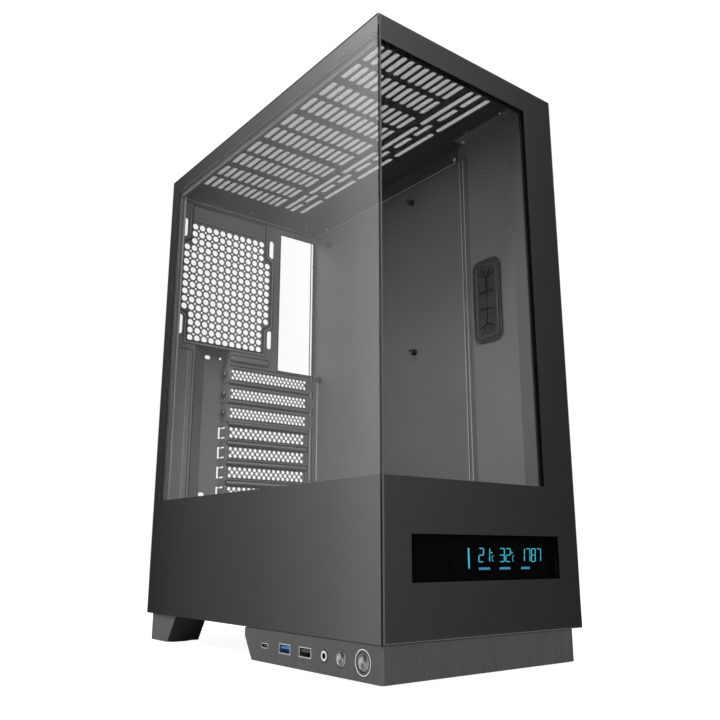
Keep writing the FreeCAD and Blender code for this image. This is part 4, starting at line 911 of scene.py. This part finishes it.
captions = []
MARK_PITCH = 1.55
for start, count in ((88.4, 7), (108.8, 7), (131.0, 6)):
    for mark in range(count):
        u = start + mark * MARK_PITCH
        captions.append(rectangle(u, u + 1.0, 65.2 + 0.35 * (mark % 2), 66.9))
caption_parts = [pierced("y", 4.15, window_face, shape) for shape in captions]
caption_glow = Finish("display_caption_glow", Roughness=0.4, Emission_Strength=1.0)
caption_tone = caption_glow.noise(2.0, 1.0)
caption_glow.set(Base_Color=caption_glow.blend(caption_tone, (0.02, 0.08, 0.12), (0.03, 0.10, 0.16)),
                 Emission_Color=caption_glow.blend(caption_tone, (0.02, 0.16, 0.30), (0.04, 0.26, 0.42)))
add_mesh("display_captions", *joined(caption_parts), "front_glass_panel", "display_black",
         caption_glow.material)

# Plinth. A moulded housing wrapped in dark brushed metal. Its grain runs
# upright: fine lines over broader, softer ones.

brushed = Finish("brushed_plinth", Metallic=0.2)
upright_grain = brushed.noise(0.35, 3.0, (1.0, 1.0, 60.0))
broad_grain = brushed.noise(2.5, 2.0, (1.0, 1.0, 40.0))
plinth_tone = upright_grain * 0.7 + broad_grain * 0.45 - 0.1
brushed.set(Base_Color=brushed.blend(plinth_tone, grey(0.019), (0.082, 0.082, 0.083)),
            Roughness=0.45 + upright_grain * 0.2, Normal=brushed.bump(upright_grain, 0.04, 0.5))
dress(["plinth"], brushed.material)

# Ports and buttons. Drawn bright shells with a blue or dark tongue, a turned
# power button in its ring, a smaller reset button and a dim light pipe.

bright = Finish("bright_nickel", Metallic=1.0)
nickel_marks = bright.noise(0.6, 2.0)
bright.set(Base_Color=bright.blend(nickel_marks, (0.52, 0.53, 0.55), (0.72, 0.73, 0.75)),
           Roughness=0.18 + nickel_marks * 0.18, Normal=bright.bump(nickel_marks, 0.01))
dress(["usb_c_shell", "usb_blue_shell", "usb_black_shell"], bright.material)
PORT_Z = 12.2
POWER_Y = 18.5
RESET_Y = 41.2
JACK_Y = 59.3


def about_axis(finish, centre_y):
    """How far a point lies beside and above an axis that runs into the plinth, and from it."""
    _, y, z = finish.axes()
    across, up = y - centre_y, z - PORT_Z
    return across, up, finish.math("SQRT", across * across + up * up)


def banded_ring(name, centre_y, bright_from, bright_to):
    """A dark turned ring with one bright band of base colour between two radii about its axis."""
    finish = Finish(name, Metallic=0.9)
    _, _, distance = about_axis(finish, centre_y)
    band = (distance > bright_from) * (distance < bright_to)
    marks = finish.noise(0.4, 2.0)
    finish.set(Base_Color=finish.blend(band * 0.8 + marks * 0.15, grey(0.020), (0.75, 0.75, 0.76)),
               Roughness=0.30 + marks * 0.15, Normal=finish.bump(marks, 0.01))
    return finish.material


# Painted highlight: the power ring's narrow bright band stands for the light along its rim. The audio jack
# gets a wider bright band round its hole.
dress(["power_ring"], banded_ring("power_ring_metal", POWER_Y, 7.25, 7.75))
dress(["audio_jack"], banded_ring("audio_jack_metal", JACK_Y, 1.9, 3.1))
blue = moulded("blue_plastic", (0.025, 0.15, 0.42), (0.05, 0.24, 0.60), 0.3)
dress(["usb_blue_tongue"], blue)
pipe = Finish("light_pipe", Roughness=0.2, Emission_Strength=1.0)
pipe_tone = pipe.noise(0.5, 1.0)
pipe.set(Base_Color=pipe.blend(pipe_tone, grey(0.03), grey(0.06)),
         Emission_Color=pipe.blend(pipe_tone, grey(0.004), grey(0.010)))
dress(["light_pipe"], pipe.material)
BUTTON_FACE = 0.2
CAP_DEPTH = 3.1
STEM_RADIUS = 1.8


def turned_cap(radius, depth):
    """A button cap about +Z: a flat rim, a shallow cone dished inwards, a soft edge, and
    behind the wall a collar and a stem."""
    collar = radius + 1.2
    return turned([(0.01, depth + 4.0), (STEM_RADIUS, depth + 4.0), (STEM_RADIUS, depth + 1.4),
                   (collar, depth + 1.4), (collar, depth), (radius, depth),
                   (radius, 0.35), (radius - 0.12, 0.1), (radius - 0.4, 0.0), (radius - 0.95, 0.0),
                   (radius - 1.15, 0.25), (radius - 1.6, 0.42), (0.5 * radius, 0.62), (0.01, 0.75)], 48)


def spun_metal(name, centre_y):
    """Spun aluminium: fine rings about the button's axis, and a painted sheen: the tone rises and falls twice
    round it.
    """
    finish = Finish(name, Metallic=1.0)
    across, up, distance = about_axis(finish, centre_y)
    angle = finish.math("ARCTAN2", up, across)
    ring_marks = finish.math("SINE", distance * 14.0) * 0.5 + 0.5
    # Painted sheen: the base colour brightens and darkens with the angle about the axis. It stands for the
    # diagonal sheen of spun metal.
    painted_sheen = finish.math("SINE", angle * 2.0 + 0.6) * 0.5 + 0.5
    tone = painted_sheen * 0.8 + ring_marks * 0.2
    finish.set(Base_Color=finish.blend(tone, (0.030, 0.030, 0.031), (0.34, 0.34, 0.345)),
               Roughness=0.24 + ring_marks * 0.1, Normal=finish.bump(ring_marks, 0.02))
    return finish.material


for name, y, radius in (("power", POWER_Y, 5.5), ("reset", RESET_Y, 5.2)):
    cap = aimed(turned_cap(radius, CAP_DEPTH), "x", (BUTTON_FACE, y, PORT_Z))
    piece = add_mesh(name + "_cap", *joined([cap]), name, "bright_metal", spun_metal(name + "_spun", y))
    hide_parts(name + "_button")

# Camera, floor and light. The camera stands where the photograph was taken:
# low, left of the front corner and looking up. The floor and the sky are white
# to the camera, and mirrors see a band of light that changes with the heading.

EYE = (-308.455, -374.653, 76.021)
YAW, PITCH, ROLL = 37.927, 13.917, 0.023
LENS_PIXELS = 780.869
PHOTO_PIXELS = 720.0
FILM_WIDTH = 36.0
camera_data = bpy.data.cameras.new("camera")
camera_data.sensor_width = FILM_WIDTH
camera_data.lens = LENS_PIXELS * FILM_WIDTH / PHOTO_PIXELS
camera = bpy.data.objects.new("camera", camera_data)
bpy.context.scene.collection.objects.link(camera)
camera.matrix_world = (Matrix.Translation(Vector(placed(EYE))) @ Matrix.Rotation(math.radians(-YAW), 4, "Z")
                       @ Matrix.Rotation(math.radians(90.0 + PITCH), 4, "X")
                       @ Matrix.Rotation(math.radians(ROLL), 4, "Z"))
bpy.context.scene.camera = camera

REACH = 12.0
floor_corners = [(-REACH, -REACH, 0), (REACH, -REACH, 0), (REACH, REACH, 0), (-REACH, REACH, 0)]
floor_mesh = bpy.data.meshes.new("floor")
floor_mesh.from_pydata(floor_corners, [], [(0, 1, 2, 3)])
floor = bpy.data.objects.new("floor", floor_mesh)
bpy.context.scene.collection.objects.link(floor)
WHITE = (1.0, 1.0, 1.0, 1.0)
FLOOR_GLOW = 0.95
pale = Finish("pale_floor", Roughness=0.9, Specular_IOR_Level=0.0)
pale.set(Base_Color=pale.blend(pale.noise(400.0, 2.0), grey(0.38), grey(0.42)))
seen = pale.node("ShaderNodeLightPath", output="Is Camera Ray")
mirrored = pale.node("ShaderNodeLightPath", output="Is Glossy Ray")
shine = pale.node("ShaderNodeEmission", sockets={"Color": WHITE, "Strength": FLOOR_GLOW})
glowing = pale.node("ShaderNodeAddShader", sockets={0: pale.coat(), 1: shine})
lit_floor = pale.mix(seen, pale.coat(), glowing)
pale.feed(pale.end.inputs["Surface"], pale.mix(mirrored, lit_floor, pale.node("ShaderNodeBsdfTransparent")))
floor_mesh.materials.append(pale.material)

LIFT = 0.18
BAND_STOPS = [(0.14, 0.80), (0.185, 0.80), (0.21, 0.46), (0.245, 0.225), (0.305, 0.03), (0.50, 0.08),
              (0.80, 0.24), (0.905, 0.025)]
BAND_RISE = 4.0
BAND_LEVEL = 3.3
world = bpy.data.worlds.new("studio")
bpy.context.scene.world = world
world.use_nodes = True
sky = Network(world.node_tree)
direction = sky.node("ShaderNodeTexCoord", output="Generated")
rise = sky.node("ShaderNodeSeparateXYZ", sockets={0: direction}, output=2)
level = sky.node("ShaderNodeVectorMath", {"operation": "MULTIPLY"}, {0: direction, 1: (1.0, 1.0, 0.0)})
unit = sky.node("ShaderNodeVectorMath", {"operation": "NORMALIZE"}, {0: level})
heading = sky.node("ShaderNodeSeparateXYZ", sockets={0: unit})
share = sky.math("MULTIPLY_ADD", heading, 0.5, 0.5)
band = sky.node("ShaderNodeValToRGB", {"stops": BAND_STOPS}, {0: share})
strength = band * sky.math("MULTIPLY_ADD", rise, BAND_RISE, BAND_LEVEL)
mirrored_sky = sky.node("ShaderNodeBackground", sockets={"Strength": strength})
plain_sky = sky.tree.nodes["Background"]
sky.feed(plain_sky.inputs["Color"], WHITE)
sky.feed(plain_sky.inputs["Strength"], LIFT)
seen_sky = sky.node("ShaderNodeBackground", sockets={"Color": WHITE, "Strength": 1.0})
unseen_sky = sky.mix(sky.node("ShaderNodeLightPath", output="Is Glossy Ray"),
                     Signal(sky, plain_sky.outputs[0]), mirrored_sky)
whole_sky = sky.mix(sky.node("ShaderNodeLightPath", output="Is Camera Ray"), unseen_sky, seen_sky)
sky.feed(sky.tree.nodes["World Output"].inputs["Surface"], whole_sky)


def softbox(name, place, target, size, power):
    """A square area lamp at a place in metres that faces a target."""
    data = bpy.data.lights.new(name, "AREA")
    data.size = size
    data.energy = power
    lamp = bpy.data.objects.new(name, data)
    bpy.context.scene.collection.objects.link(lamp)
    aim = Vector(target) - Vector(place)
    lamp.matrix_world = Matrix.Translation(Vector(place)) @ aim.to_track_quat("-Z", "Y").to_matrix().to_4x4()


LAMP_AIM = (0.0, 0.0, 0.2)
softbox("left_box", (-1.15, -0.35, 1.7), LAMP_AIM, 0.9, 50.0)
softbox("front_box", (0.15, -1.5, 1.35), LAMP_AIM, 0.8, 36.0)
softbox("rear_box", (0.4, 1.8, 1.0), LAMP_AIM, 1.4, 8.0)
bpy.context.scene.view_settings.view_transform = "Standard"
